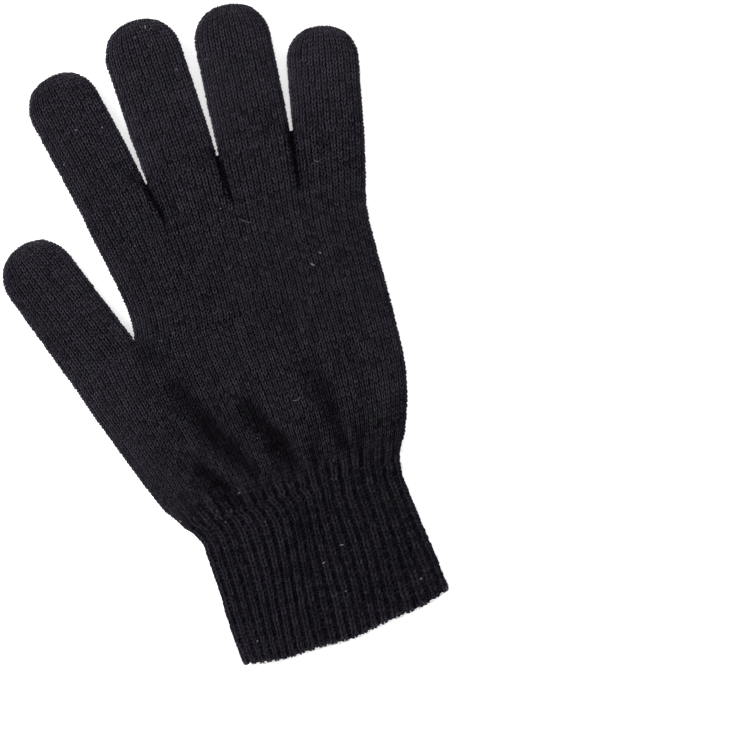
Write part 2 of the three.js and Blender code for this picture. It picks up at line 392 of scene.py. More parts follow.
@dataclass(frozen=True)
class Stitch:
    """One knitted loop as it shows: a V of two yarn legs in a cell one wale wide and one course high.

    Across and along are in cells, heights in millimetres above the fabric's middle.
    """

    foot: float = 0.085
    spread: float = 0.26
    splay: float = 0.85
    start: float = -0.14
    reach: float = 1.26
    thick: float = 0.155
    high: float = 0.42
    swell: float = 0.16
    tuck: float = 0.42
    pivot: float = 0.35
    sides: int = 4
    rings: int = 4

    def mesh(self) -> bpy.types.Mesh:
        """Models the two legs.

        Returns:
            A mesh with both legs, each unrolled in its half of the UV cell.
        """
        bm = blank()
        for way in (-1, 1):
            for vert in ball(bm, self.sides, self.rings):
                share = (vert.co.z + 1) / 2
                across = 0.5 + way * (self.foot + self.spread * share**self.splay) + vert.co.x * self.thick
                along = self.start + self.reach * share
                height = self.swell * math.sin(math.pi * share) - self.tuck * (share - self.pivot)
                vert.co = (across, along, height + vert.co.y * self.high)
        uv = bm.loops.layers.uv[UV_MAP]
        legs = len(bm.faces) // 2
        bm.faces.ensure_lookup_table()
        for number, face in enumerate(bm.faces):
            for loop in face.loops:
                u, v = loop[uv].uv
                loop[uv].uv = ((u * UV_MARGIN + number // legs) / 2, v * UV_MARGIN)
        return finished(bm, "stitch")


@dataclass(frozen=True)
class PurlBar:
    """The back of a loop at the bottom of a rib's groove: a short bar of yarn across it."""

    half: float = 0.22
    thick: float = 0.5
    high: float = 0.3
    sink: float = 0.36
    middle: float = 0.4
    bow: float = 0.25

    def mesh(self) -> bpy.types.Mesh:
        """Models the bar, centred on the cell's left edge.

        Returns:
            The bar's mesh.
        """
        bm = blank()
        for vert in ball(bm, 4, 3):
            along = self.middle + self.bow * (1 - vert.co.z**2) + vert.co.x * self.thick
            vert.co = (vert.co.z * self.half, along, vert.co.y * self.high - self.sink)
        return finished(bm, "purl")


@dataclass(frozen=True)
class Hair:
    """One loose hair of yarn as a thin spindle a unit long, bent and laid by the knitter."""

    sides: int = 3
    rings: int = 3

    def mesh(self) -> bpy.types.Mesh:
        """Models the spindle.

        Returns:
            A mesh from 0 to 1 along Z with a radius of 1.
        """
        bm = blank()
        for vert in ball(bm, self.sides, self.rings):
            vert.co.z = (vert.co.z + 1) / 2
        return finished(bm, "hair")


@dataclass(frozen=True)
class Fuzz:
    """How a stretch of fabric is covered with loose hairs. Its pitch is a wale's and a course's size."""

    count: int
    wales: tuple[float, float]
    courses: tuple[float, float]
    length: tuple[float, float] = (1.2, 3.4)
    lift: tuple[float, float] = (0.0, 0.5)
    base: float = 0.42
    thick: float = 0.036
    tone: float = 1.0
    bend: float = 0.9
    tone_spread: float = 0.25
    pitch: tuple[float, float] = (1.9, COURSE)


class Fabric:
    """A knitted tube as a fine grid of points, addressed by wale and course.

    Wale 0 is the tube's left edge. Wales run over the back to the right edge and on underneath, and courses
    run from the cuff's end to the fingers' end.
    """

    def __init__(
        self, loops: np.ndarray, wales: int, courses: int, before: float = 0.5, beyond: float = 0.5
    ) -> None:
        """Keeps the grid and works out its outward normals.

        Args:
            loops: rows x columns x 3 points in millimetres, closed around.
            wales: how many wales go around the tube.
            courses: how many courses the grid is long.
            before: how many courses a stitch may reach past its first row.
            beyond: how many courses a stitch may reach past its last row.
        """
        self.loops = loops
        self.before = before
        self.beyond = beyond
        self.wales = wales
        self.courses = courses
        around = np.roll(loops, -1, axis=1) - np.roll(loops, 1, axis=1)
        normals = np.cross(around, np.gradient(loops, axis=0))
        lengths = np.linalg.norm(normals, axis=2, keepdims=True)
        self.normals = normals / np.maximum(lengths, 1e-9)

    def wale_size(self) -> float:
        """A wale's mean width in millimetres."""
        ring = self.loops[len(self.loops) // 2]
        return float(np.linalg.norm(np.roll(ring, -1, axis=0) - ring, axis=1).sum() / self.wales)

    def course_size(self) -> float:
        """A course's mean height in millimetres."""
        steps = np.linalg.norm(np.diff(self.loops, axis=0), axis=2)
        return float(steps.mean() * len(steps) / self.courses)

    def place(self, wale: np.ndarray, course: np.ndarray, height: np.ndarray) -> np.ndarray:
        """Finds points on the fabric.

        Args:
            wale: places around, in wales.
            course: places along, in courses.
            height: millimetres above the fabric's middle.

        Returns:
            The points in millimetres.
        """
        rows, columns, _ = self.loops.shape
        row = np.clip(course, -self.before, self.courses + self.beyond) / self.courses * (rows - 1)
        column = (wale / self.wales) % 1 * columns
        r0 = np.clip(row.astype(int), 0, rows - 2)
        c0 = column.astype(int) % columns
        c1 = (c0 + 1) % columns
        along = (row - r0)[:, None]
        aside = (column - np.floor(column))[:, None]
        point = self._blend(self.loops, r0, c0, c1, along, aside)
        normal = self._blend(self.normals, r0, c0, c1, along, aside)
        normal /= np.maximum(np.linalg.norm(normal, axis=1, keepdims=True), 1e-9)
        return point + normal * height[:, None]

    @staticmethod
    def _blend(
        grid: np.ndarray, r0: np.ndarray, c0: np.ndarray, c1: np.ndarray, along: np.ndarray, aside: np.ndarray
    ) -> np.ndarray:
        """Blends a grid's four nearest entries at each place.

        Args:
            grid: rows x columns x 3 numbers.
            r0: each place's row.
            c0: each place's column.
            c1: the next column around.
            along: how far each place is towards the next row.
            aside: how far it is towards the next column.

        Returns:
            The blends.
        """
        low = grid[r0, c0] * (1 - aside) + grid[r0, c1] * aside
        high = grid[r0 + 1, c0] * (1 - aside) + grid[r0 + 1, c1] * aside
        return low * (1 - along) + high * along


def ramp(values: np.ndarray, start: float, end: float) -> np.ndarray:
    """Shares that grow from 0 at the start to 1 at the end.

    Args:
        values: where to take them.
        start: the value at which the share is 0.
        end: the value at which it is 1, above or below the start.

    Returns:
        The shares.
    """
    return np.clip((values - start) / (end - start), 0, 1)


def tube_ring(back: np.ndarray, under: np.ndarray) -> np.ndarray:
    """Joins a flat tube's two faces into a ring around it.

    Args:
        back: the upper face's points, from left to right.
        under: the lower face's points, from left to right.

    Returns:
        The ring's points, from the left edge over the back and on underneath.
    """
    return np.vstack([back, under[::-1][1:]])


def at_places(points: np.ndarray, places: np.ndarray) -> np.ndarray:
    """Reads a line of points at fractional indices.

    Args:
        points: the line.
        places: the indices.

    Returns:
        The points there.
    """
    number = np.arange(len(points))
    return np.stack([np.interp(places, number, column) for column in points.T], axis=1)


def arc_places(points: np.ndarray, knots: np.ndarray, shares: np.ndarray, count: int) -> np.ndarray:
    """Spaces places evenly along a line, so that given places on it fall at given shares.

    Args:
        points: the fine line.
        knots: indices on the line.
        shares: the share of the count at which each knot falls.
        count: how many places.

    Returns:
        Fractional indices on the line, from its start up to but without its end.
    """
    steps = np.linalg.norm(np.diff(points, axis=0), axis=1)
    length = np.concatenate([[0], np.cumsum(steps)])
    wanted = np.interp(np.arange(count) / count, shares, np.interp(knots, np.arange(len(points)), length))
    return np.interp(wanted, length, np.arange(len(points)))


def along_line(points: np.ndarray, shares: np.ndarray) -> np.ndarray:
    """Walks a polyline.

    Args:
        points: its corners in the plane.
        shares: places as shares of its length.

    Returns:
        The points there.
    """
    steps = np.linalg.norm(np.diff(points, axis=0), axis=1)
    length = np.concatenate([[0], np.cumsum(steps)]) / steps.sum()
    return np.stack([np.interp(shares, length, points[:, axis]) for axis in range(2)], axis=1)


def smooth_path(points: list[tuple[float, float]], count: int) -> np.ndarray:
    """Runs a smooth curve through points, spaced by their numbers.

    Args:
        points: the points in the plane.
        count: how many points to return.

    Returns:
        The curve's points.
    """
    known = np.array(points, float)
    padded = np.vstack([2 * known[0] - known[1], known, 2 * known[-1] - known[-2]])
    place = np.linspace(0, len(known) - 1, count)
    k = np.minimum(place.astype(int), len(known) - 2)
    t = (place - k)[:, None]
    a, b, c, d = (padded[k + i] for i in range(4))
    return b + 0.5 * t * (c - a + t * (2 * a - 5 * b + 4 * c - d + t * (3 * (b - c) + d - a)))


@dataclass(frozen=True)
class Section:
    """A flattened tube's height at a share of its half width."""

    low: float
    height: float
    power: float
    flatness: float = 1.4

    def heights(self, share: np.ndarray, side: Side) -> np.ndarray:
        """Heights of one face above the ground.

        Args:
            share: places from -1 at the left edge to 1 at the right.
            side: which face.

        Returns:
            Heights in millimetres.
        """
        round_off = np.sqrt(np.maximum(0, 1 - np.minimum(1, np.abs(share)) ** self.power))
        half = self.height / 2
        if side is Side.BACK:
            return self.low + half + half * round_off
        return self.low + half - half * np.minimum(1, self.flatness * round_off)


@dataclass(frozen=True)
class Fold:
    """A dent in the back of the glove from one place to another, deepest in its middle line.

    Its depth and its reach to the left and right are each given at both ends.
    """

    start: tuple[float, float]
    end: tuple[float, float]
    deep: tuple[float, float]
    left: tuple[float, float]
    right: tuple[float, float]
    fade: float = 3.0

    def depth(self, x: np.ndarray, y: np.ndarray) -> np.ndarray:
        """How far the fold lowers the fabric.

        Args:
            x: places across the hand.
            y: places along the hand.

        Returns:
            Depths in millimetres.
        """
        run = np.array(self.end) - np.array(self.start)
        length = np.linalg.norm(run)
        to_x = x - self.start[0]
        to_y = y - self.start[1]
        along = (to_x * run[0] + to_y * run[1]) / length
        aside = (to_x * run[1] - to_y * run[0]) / length
        share = np.clip(along / length, 0, 1)
        past = np.maximum(0, np.maximum(-along, along - length)) / self.fade
        half_left = self.left[0] + (self.left[1] - self.left[0]) * share
        half_right = self.right[0] + (self.right[1] - self.right[0]) * share
        half = np.where(aside > 0, half_left, half_right)
        deep = self.deep[0] + (self.deep[1] - self.deep[0]) * share
        return deep * np.exp(-((aside / half) ** 2) - past**2)


@dataclass(frozen=True)
class Relief:
    """All the dents in the back of the hand, with a faint unevenness of soft cloth."""

    folds: tuple[Fold, ...]
    uneven: float = 0.16
    wavelengths: tuple[float, ...] = (31.0, 19.0, 12.5)
    first_turn: float = 1.1
    next_turn: float = 2.3
    phase: float = 5.0
    even_fingers: tuple[float, float] = (52.0, 40.0)
    even_thumb_along: tuple[float, float] = (-12.0, -20.0)
    even_thumb_across: tuple[float, float] = (-48.0, -40.0)

    def depth(self, x: np.ndarray, y: np.ndarray) -> np.ndarray:
        """How far the back of the hand is lowered. The unevenness fades out towards the roots.

        Args:
            x: places across the hand.
            y: places along the hand.

        Returns:
            Depths in millimetres.
        """
        deepest = np.zeros_like(x)
        for fold in self.folds:
            deepest = np.maximum(deepest, fold.depth(x, y))
        wave = np.zeros_like(x)
        for number, length in enumerate(self.wavelengths):
            turn = self.first_turn + self.next_turn * number
            along = x * math.cos(turn) + y * math.sin(turn)
            wave += np.sin(2 * math.pi * along / length + self.phase * number)
        thumb = np.maximum(ramp(y, *self.even_thumb_along), ramp(x, *self.even_thumb_across))
        return deepest + self.uneven * wave * ramp(y, *self.even_fingers) * thumb


@dataclass(frozen=True)
class Limb:
    """A finger or the thumb, lying flat, with a round tip. Its wales lean together a little at the tip.

    The skew slants its root line at the left edge, the middle and the right edge, and the pinch draws the
    root in at both edges.
    """

    name: str
    root: tuple[float, float]
    lean: float
    width: float
    length: float
    wales: int = 28
    course: float = COURSE
    height: float = 8.2
    lift: float = 0.12
    taper: float = 1.0
    skew: tuple[float, float, float] = (0.0, 0.0, 0.0)
    skew_reach: float = 9.0
    skew_fade: float = 1.5
    pinch: tuple[float, float] = (0.0, 0.0)
    pinch_reach: float = 15.0
    stub_courses: int = 4
    side_end: float = 0.78
    tip_power: float = 3.0
    root_power: float = 4.5
    columns_per_wale: int = 4
    rows_per_course: int = 3
    samples: int = 361
    root_courses: float = 1.3

    def reach(self, x: np.ndarray, y: np.ndarray) -> np.ndarray:
        """How far places lie from the root line towards the tip.

        Args:
            x: places across the hand.
            y: places along the hand.

        Returns:
            Distances in millimetres.
        """
        lean = math.radians(self.lean)
        return (y - self.root[1]) * math.cos(lean) - (x - self.root[0]) * math.sin(lean)

    def courses(self) -> int:
        """How many courses the limb has from its root line to its tip."""
        return round(self.length / self.course)

    def fabric(self) -> Fabric:
        """Lays the limb's courses from the root line to the tip.

        Returns:
            The tube of fabric.
        """
        rows = self.courses() * self.rows_per_course + 1
        columns = self.wales * self.columns_per_wale
        radius = self.width / 2 - SIDE_INSET
        shank = self.length - SIDE_INSET - radius
        narrow = math.sqrt(1 - self.side_end**2)
        share = -np.cos(np.linspace(0, math.pi, self.samples))
        knots = np.array([0, self.samples - 1, 2 * self.samples - 2])
        bow = (np.sqrt(1 - (narrow * share) ** 2) - self.side_end) / (1 - self.side_end)
        lean = math.radians(self.lean)
        across_way = np.array([math.cos(lean), math.sin(lean)])
        along_way = np.array([-math.sin(lean), math.cos(lean)])
        loops = np.zeros((rows, columns, 3))
        for row in range(rows):
            reach = (self.length - SIDE_INSET) * row / (rows - 1)
            q = max(0.0, (reach - shank) / radius)
            wide = radius * (1 + (self.taper - 1) * min(1.0, reach / self.length))
            half = wide * math.sqrt(1 - (self.side_end * q) ** 2)
            rooted = max(0.0, 1 - reach / self.skew_reach)
            power = self.tip_power + (self.root_power - self.tip_power) * rooted
            section = Section(self.lift + INSET, self.height - 2 * INSET, power)
            across = half * share
            if q > 0:
                along = shank + radius * q * (self.side_end + (1 - self.side_end) * bow)
                out = np.sqrt((across / wide) ** 2 + ((along - shank) / radius) ** 2)
            else:
                drawn = np.interp(share, (-1, 0, 1), (self.pinch[0], 0, -self.pinch[1]))
                across = across + drawn * max(0.0, 1 - reach / self.pinch_reach)
                slant = np.interp(share, (-1, 0, 1), self.skew)
                along = reach + slant * rooted**self.skew_fade
                out = np.abs(share)
            ring = tube_ring(*(np.column_stack([across, along, section.heights(out, side)]) for side in Side))
            local = at_places(ring, arc_places(ring, knots, np.array([0, 0.5, 1]), columns))
            loops[row, :, :2] = np.array(self.root) + local[:, :1] * across_way + local[:, 1:2] * along_way
            loops[row, :, 2] = local[:, 2]
        return Fabric(loops, self.wales, self.courses(), before=self.root_courses, beyond=0.0)


@dataclass(frozen=True)
class CuffPlan:
    """The ribbed cuff: a tube that is rolled over its hem to the inside.

    Its ribs sway to the sides towards the hem, and wobble a little on the way: each wobble is given by its
    size and its pace around the cuff. The hem's ripple also has a start.
    """

    wrist_left: tuple[float, float] = (-43.97, -63.01)
    wrist_right: tuple[float, float] = (36.4, -57.35)
    width: float = 74.0
    length: float = 51.0
    height: float = CAD_BOX[1][2] / MM
    hem_bow: float = 4.0
    hem_ripple: tuple[float, float, float] = (0.35, 9.0, 1.2)
    rib_depth: float = 0.5
    rib_groove: float = 2.0
    rib_sway: float = 0.19
    near_wobble: tuple[float, float] = (3.4, 0.0283)
    far_wobble: tuple[float, float] = (4.0, 0.0201)
    wobble_middle: float = 186.0
    wobble_slant: float = 6.0
    ribs: int = 42
    course: float = COURSE
    wall: float = 1.7
    lip_courses: int = 2
    inner_courses: int = 14
    power: float = 5.0
    columns_per_rib: int = 16
    rows_per_course: int = 3
    samples: int = 601

    def outer_courses(self) -> int:
        """How many courses show on the outside."""
        return round(self.length / self.course)

    def rows(self) -> np.ndarray:
        """The cuff's rows below the wrist.

        Returns:
            A table with columns down, middle, wide, turn and rib: shares of the length and width, degrees,
            and a share of the ribs' depth.
        """
        across = np.subtract(self.wrist_right, self.wrist_left)
        wide = np.linalg.norm(across) / self.width
        turn = math.degrees(math.atan2(across[1], across[0]))
        return np.array(
            [
                (0.0, 0.0, wide, turn, 1.0),
                (0.06, 0.018, 1.045, 4.3, 1.0),
                (0.14, 0.026, 1.01, 4.6, 1.0),
                (0.45, 0.046, 1.02, 5.2, 1.0),
                (0.75, 0.064, 1.045, 5.4, 1.0),
                (0.95, 0.078, 1.05, 5.4, 1.0),
                (1.0, 0.082, 1.05, 5.4, 0.35),
            ]
        )

    def loop(self, down: float, depth: float) -> np.ndarray:
        """One loop around the cuff.

        Args:
            down: how far below the wrist, as a share of the length.
            depth: how far inside the outer face, in millimetres.

        Returns:
            The loop's points.
        """
        table = self.rows()
        middle, wide, turn, rib = (np.interp(down, table[:, 0], table[:, i]) for i in range(1, 5))
        half = wide * self.width / 2 - INSET
        section = Section(INSET, self.height - 2 * INSET, self.power)
        share = -np.cos(np.linspace(0, math.pi, self.samples))
        ring = tube_ring(*(np.column_stack([half * share, section.heights(share, side)]) for side in Side))
        columns = self.ribs * self.columns_per_rib
        edge = self.samples - 1
        at = arc_places(ring, np.array([0, edge, 2 * edge]), np.array([0, 0.5, 1]), columns)
        inward = np.sin(math.pi * at / edge)
        at = at - self.rib_sway * down**1.5 * edge / math.pi * inward * np.abs(inward)
        slant = self.wobble_slant * down
        wobble = self.near_wobble[0] * np.sin(self.near_wobble[1] * at + slant)
        wobble += self.far_wobble[0] * np.sin(self.far_wobble[1] * (at - self.wobble_middle))
        at = at + wobble * np.sin(math.pi * at / edge) ** 2 * min(1, slant)
        across, z = at_places(ring, at).T
        tangent = np.stack([np.roll(across, -1) - np.roll(across, 1), np.roll(z, -1) - np.roll(z, 1)])
        tangent /= np.linalg.norm(tangent, axis=0)
        wave = 0.5 + 0.5 * np.cos(2 * math.pi * np.arange(columns) / self.columns_per_rib)
        sink = self.rib_depth * rib * wave**self.rib_groove
        sink = sink + depth - 0.5 * sink * min(1.0, depth / self.wall)
        across = across + tangent[1] * sink
        z = z - tangent[0] * sink
        reach = across / half
        bow = self.hem_bow * down**2 * np.maximum(0, 1 - reach**2)
        size, pace, start = self.hem_ripple
        ripple = size * np.sin(pace * reach + start) * down**4
        drop = down * self.length + bow + ripple
        lean = math.radians(turn)
        wrist = (np.array(self.wrist_left) + np.array(self.wrist_right)) / 2
        x = wrist[0] + middle * self.width + across * math.cos(lean) + (bow + ripple) * math.sin(lean)
        y = wrist[1] + across * math.sin(lean) - drop * math.cos(lean)
        return np.column_stack([x, y, z])

    def fabric(self) -> Fabric:
        """Lays the cuff from inside, round the hem, up to the wrist.

        Returns:
            The tube of fabric.
        """
        stations = []
        per = self.rows_per_course
        hem = 1 - self.wall / 2 / self.length
        inner = self.inner_courses * per
        for i in range(inner):
            stations.append((hem - (inner - i) * self.course / per / self.length, self.wall))
        lip = self.lip_courses * per
        for i in range(lip):
            angle = math.pi * i / lip
            past = math.sin(angle) * self.wall / 2 / self.length
            stations.append((hem + past, self.wall / 2 * (1 + math.cos(angle))))
        outer = self.outer_courses() * per
        for i in range(outer + 1):
            stations.append((hem * (1 - i / outer), 0.0))
        loops = np.array([self.loop(down, depth) for down, depth in stations])
        courses = self.inner_courses + self.lip_courses + self.outer_courses()
        return Fabric(loops, self.ribs, courses)


@dataclass(frozen=True)
class HandPlan:
    """Where the hand's edges and lines lie, seen from above.

    Its height drops towards the roots by shares: at the crotch's side, at the outer side, and further at the
    knuckles. The cuff's ribs run up into it and fade out.
    """

    cuff: CuffPlan = CuffPlan()
    fingers: tuple[Limb, ...] = (
        Limb("index_finger", (-37.15, 53.34), 13.3, 25.1, 49.7, pinch=(0.0, 0.6)),
        Limb("middle_finger", (-11.9, 57.0), 3.4, 26.5, 56.4, skew=(0.0, 0.6, 1.4), pinch=(0.6, 0.35)),
        Limb("ring_finger", (14.85, 60.0), -3.2, 26.3, 50.5, skew=(-1.5, 0.1, 1.75), pinch=(0.35, 0.35)),
        Limb("little_finger", (41.1, 59.4), -10.9, 24.8, 35.9, 26, skew=(-1.0, -0.6, -0.4), pinch=(0.35, 0)),
    )
    thumb: Limb = Limb("thumb", (-55.1, -1.7), 21.5, 26.4, 52.4, taper=0.955)
    crotch: tuple[float, float] = (-43.34, 2.95)
    outer_top: tuple[float, float] = (46.64, 4.72)
    crotch_drop: float = 0.1
    outer_drop: float = 0.05
    knuckle_drop: float = 0.06
    power: float = 4.5
    thumb_wales: int = 12
    palm_wales: int = 47
    lower_courses: int = 45
    upper_courses: int = 40
    columns_per_wale: int = 4
    rows_per_course: int = 3
    samples: int = 601
    rib_top: float = -45.5
    rib_run: float = 9.0
    wrist_slope: float = 0.07
    edge_reach: float = 42.0
    root_reach: float = 12.6
    root_courses: int = 16

    def rib_share(self, x: np.ndarray, y: np.ndarray) -> np.ndarray:
        """How far the cuff's ribs show above the wrist.

        Args:
            x: places across the hand.
            y: places along the hand.

        Returns:
            Shares from 0 to 1.
        """
        return ramp(y - self.wrist_slope * x, self.rib_top, self.rib_top - self.rib_run)

    def thumb_side(self) -> list[tuple[float, float]]:
        """The left edge from the wrist, round the base of the thumb, to the thumb's root."""
        bulge = [(-49.9, -52.3), (-55.4, -38.9), (-60.0, -27.0), (-64.1, -16.2), (-67.3, -6.5)]
        return [self.cuff.wrist_left, *bulge]

    def pivot(self) -> list[tuple[float, float]]:
        """The line between the wales of the thumb and those of the palm, up to the crotch."""
        return [(-27.35, -61.84), (-33.0, -45.0), (-38.4, -27.0), (-41.8, -11.0), self.crotch]

    def outer_side(self) -> list[tuple[float, float]]:
        """The right edge from the wrist to the level of the crotch."""
        bulge = [(40.2, -48.5), (43.8, -37.5), (46.0, -25.0), (46.5, -12.0), (46.6, -3.5)]
        return [self.cuff.wrist_right, *bulge, self.outer_top]

    def index_side(self) -> list[tuple[float, float]]:
        """The left edge from the crotch to the index finger's root."""
        return [self.crotch, (-42.6, 11.8), (-43.6, 21.2), (-45.5, 30.8), (-47.6, 40.5), (-49.6, 50.4)]

    def little_side(self) -> list[tuple[float, float]]:
        """The right edge from the level of the crotch to the little finger's root."""
        return [self.outer_top, (46.6, 14.2), (46.7, 23.6), (47.6, 31.9), (49.9, 41.5), (53.42, 56.8)]

    def knuckles(self) -> list[tuple[float, float]]:
        """The fingers' root lines, from the index finger's outer side to the little finger's."""
        return [(-49.6, 50.4), (-25.2, 56.1), (1.35, 59.2), (28.5, 61.0), (53.42, 56.8)]

    def relief(self) -> Relief:
        """The dents in the back of the hand.

        Returns:
            The creases between the fingers, the hooks at their ends, the gathers above the wrist and the
            dent at the thumb's root.
        """
        creases = tuple(
            Fold(top, bottom, (5.0, 2.2), (1.5, 1.0), (1.5, 1.0), 1.2)
            for top, bottom in (
                ((-25.6, 57.5), (-22.0, 42.4)),
                ((1.3, 60.5), (2.2, 43.6)),
                ((28.4, 63.0), (26.4, 42.4)),
            )
        )
        hooks = (
            Fold((2.2, 43.6), (5.8, 41.8), (1.6, 1.6), (1.1, 1.1), (1.1, 1.1), 1.0),
            Fold((26.4, 42.4), (29.4, 39.9), (1.5, 1.4), (1.1, 1.1), (1.1, 1.1), 1.0),
            Fold((-22.3, 38.6), (-13.3, 39.8), (1.3, 1.1), (1.0, 1.0), (1.0, 1.0), 1.0),
        )
        gathers = (
            Fold((-34.2, -14.0), (-22.5, -36.0), (2.2, 4.2), (6.0, 5.6), (3.8, 2.8), 4.0),
            Fold((-22.5, -36.0), (-14.2, -51.0), (4.2, 1.8), (5.4, 3.2), (2.8, 1.8), 3.0),
            Fold((-11.0, -28.0), (-2.0, -43.0), (2.2, 5.2), (6.2, 6.0), (2.8, 1.8), 4.0),
            Fold((-2.0, -43.0), (0.4, -53.0), (5.2, 2.2), (6.0, 4.0), (1.8, 1.6), 2.5),
            Fold((-31.0, -45.0), (-22.8, -58.0), (2.9, 4.6), (3.8, 3.4), (2.0, 1.6), 3.0),
            Fold((15.6, -20.0), (18.4, -47.5), (1.5, 3.0), (5.0, 4.0), (2.6, 1.8), 5.0),
            Fold((10.8, -34.0), (7.6, -52.0), (0.8, 1.8), (3.6, 3.0), (2.0, 1.5), 4.0),
            Fold((25.5, -39.0), (23.4, -55.0), (0.5, 1.6), (3.6, 3.2), (2.6, 2.0), 4.0),
            Fold((-41.0, 0.0), (-33.0, -12.0), (1.6, 1.0), (4.0, 4.0), (4.0, 4.0), 4.0),
        )
        return Relief(creases + hooks + gathers)

    def _fabric(
        self,
        lines: list[np.ndarray],
        heights: np.ndarray,
        reaches: np.ndarray,
        knots: list[np.ndarray],
        shares: list[float],
        counts: tuple[int, int],
    ) -> Fabric:
        """Lays a tube over plan lines that run from its left edge to its right.

        Args:
            lines: one polyline a row.
            heights: the tube's height at each row's left edge and right edge.
            reaches: how far from each of those edges the tube is rounded off.
            knots: for each row, the places on the line, as shares of its length, that keep to given wales.
            shares: those wales, as shares of the wales across the back.
            counts: how many wales go around and how many courses are laid.

        Returns:
            The tube of fabric.
        """
        wales, courses = counts
        columns = wales * self.columns_per_wale
        relief = self.relief()
        share = -np.cos(np.linspace(0, math.pi, self.samples))
        middle = self.samples - 1
        section = Section(0.0, 1.0, self.power)
        across = np.array([0, *shares, 1]) / 2
        around = np.concatenate([across, 1 - across[::-1][1:]])
        loops = np.zeros((len(lines), columns, 3))
        for row, line in enumerate(lines):
            length = np.linalg.norm(np.diff(line, axis=0), axis=1).sum()
            kept = 1 - 2 * SIDE_INSET / length
            plan = along_line(line, (share * kept + 1) / 2)
            left_high, right_high = heights[row]
            full = left_high + (right_high - left_high) * (share + 1) / 2
            from_left = 1 - (share + 1) / 2 * length / reaches[row, 0]
            from_right = 1 - (1 - share) / 2 * length / reaches[row, 1]
            out = np.maximum(0, np.maximum(from_left, from_right))
            faces = []
            for side in Side:
                unit = section.heights(out, side)
                even = INSET + (full - 2 * INSET) * unit
                dents = relief.depth(plan[:, 0], plan[:, 1]) if side is Side.BACK else 0 * even
                faces.append(np.column_stack([plan, even, even - dents * np.clip(2 * unit - 1, 0, 1)]))
            ring = tube_ring(*faces)
            top = [0, *np.interp(knots[row], (share + 1) / 2, np.arange(len(share))), middle]
            marks = np.concatenate([top, 2 * middle - np.array(top)[::-1][1:]])
            at = arc_places(ring[:, :3], marks, around, columns)
            loops[row] = at_places(ring[:, [0, 1, 3]], at)
        self._groove(loops)
        return Fabric(loops, wales, courses)

    def _groove(self, loops: np.ndarray) -> None:
        """Sinks the grooves between the cuff's ribs into a tube's wrist, apart from its rounded sides.

        Args:
            loops: the tube's grid of points, which is changed.
        """
        place = np.arange(loops.shape[1]) / loops.shape[1]
        groove = self.cuff.rib_depth * (0.5 + 0.5 * np.cos(2 * math.pi * self.cuff.ribs * place)) ** 2
        groove *= np.clip(6 * np.abs(np.sin(2 * math.pi * place)) - 0.6, 0, 1)
        shown = self.rib_share(loops[:, :, 0], loops[:, :, 1])
        loops[:, :, 2] -= np.where(place < 0.5, 1, -1) * groove * shown

    def root_reaches(self, courses: int, rows: int) -> np.ndarray:
        """How far the hand's edge is rounded off at each row. At the roots it takes the fingers' round.

        Args:
            courses: how many courses lead up to the roots.
            rows: how many rows they have.

        Returns:
            Distances in millimetres.
        """
        near = np.clip(1 - (1 - np.linspace(0, 1, rows)) * courses / self.root_courses, 0, 1)
        return self.edge_reach + (self.root_reach - self.edge_reach) * near**0.5

    def lower(self) -> Fabric:
        """The hand below the crotch, with the base of the thumb on its left.

        Returns:
            The tube of fabric.
        """
        rows = self.lower_courses * self.rows_per_course + 1
        left = smooth_path(self.thumb_side(), rows)
        pivot = smooth_path(self.pivot(), rows)
        right = smooth_path(self.outer_side(), rows)
        lines = [np.array([left[i], pivot[i], right[i]]) for i in range(rows)]
        up = np.linspace(0, 1, rows)
        heights = self.cuff.height * np.column_stack([1 - self.crotch_drop * up**2, 1 - self.outer_drop * up])
        knots = []
        for line in lines:
            spans = np.linalg.norm(np.diff(line, axis=0), axis=1)
            knots.append(np.array([spans[0] / spans.sum()]))
        across = self.thumb_wales + self.palm_wales
        thumb_reach = self.root_reaches(self.lower_courses, rows)
        reaches = np.column_stack([thumb_reach, np.full(rows, self.edge_reach)])
        counts = (2 * across, self.lower_courses)
        return self._fabric(lines, heights, reaches, knots, [self.thumb_wales / across], counts)

    def upper(self) -> Fabric:
        """The hand from the crotch to the fingers' roots.

        Returns:
            The tube of fabric.
        """
        rows = self.upper_courses * self.rows_per_course + 1
        even = np.linspace(0, 1, rows)
        left = along_line(smooth_path(self.index_side(), rows), even)
        right = along_line(smooth_path(self.little_side(), rows), even)
        share = np.linspace(0, 1, 41)
        knuckles = along_line(np.array(self.knuckles()), share)
        straight = along_line(np.array([self.knuckles()[0], self.knuckles()[-1]]), share)
        lines = []
        for row in range(rows):
            up = row / (rows - 1)
            line = left[row] + share[:, None] * (right[row] - left[row])
            lines.append(line + up * (knuckles - straight))
        height = self.cuff.height * (1 - self.outer_drop - self.knuckle_drop * even**2)
        reach = self.root_reaches(self.upper_courses, rows)
        both = [np.column_stack([edge, edge]) for edge in (height, reach)]
        knots = [np.array([])] * rows
        return self._fabric(lines, *both, knots, [], (2 * self.palm_wales, self.upper_courses))


def read_points(mesh: bpy.types.Mesh) -> np.ndarray:
    """Reads a mesh's vertices.

    Args:
        mesh: the mesh.

    Returns:
        Their places, as it holds them.
    """
    points = np.zeros(len(mesh.vertices) * 3, np.float32)
    mesh.vertices.foreach_get("co", points)
    return points.reshape(-1, 3).astype(float)


def write_points(mesh: bpy.types.Mesh, points: np.ndarray) -> None:
    """Moves a mesh's vertices.

    Args:
        mesh: the mesh.
        points: their new places in millimetres.
    """
    mesh.vertices.foreach_set("co", (points * MM).astype(np.float32).ravel())
    mesh.update()


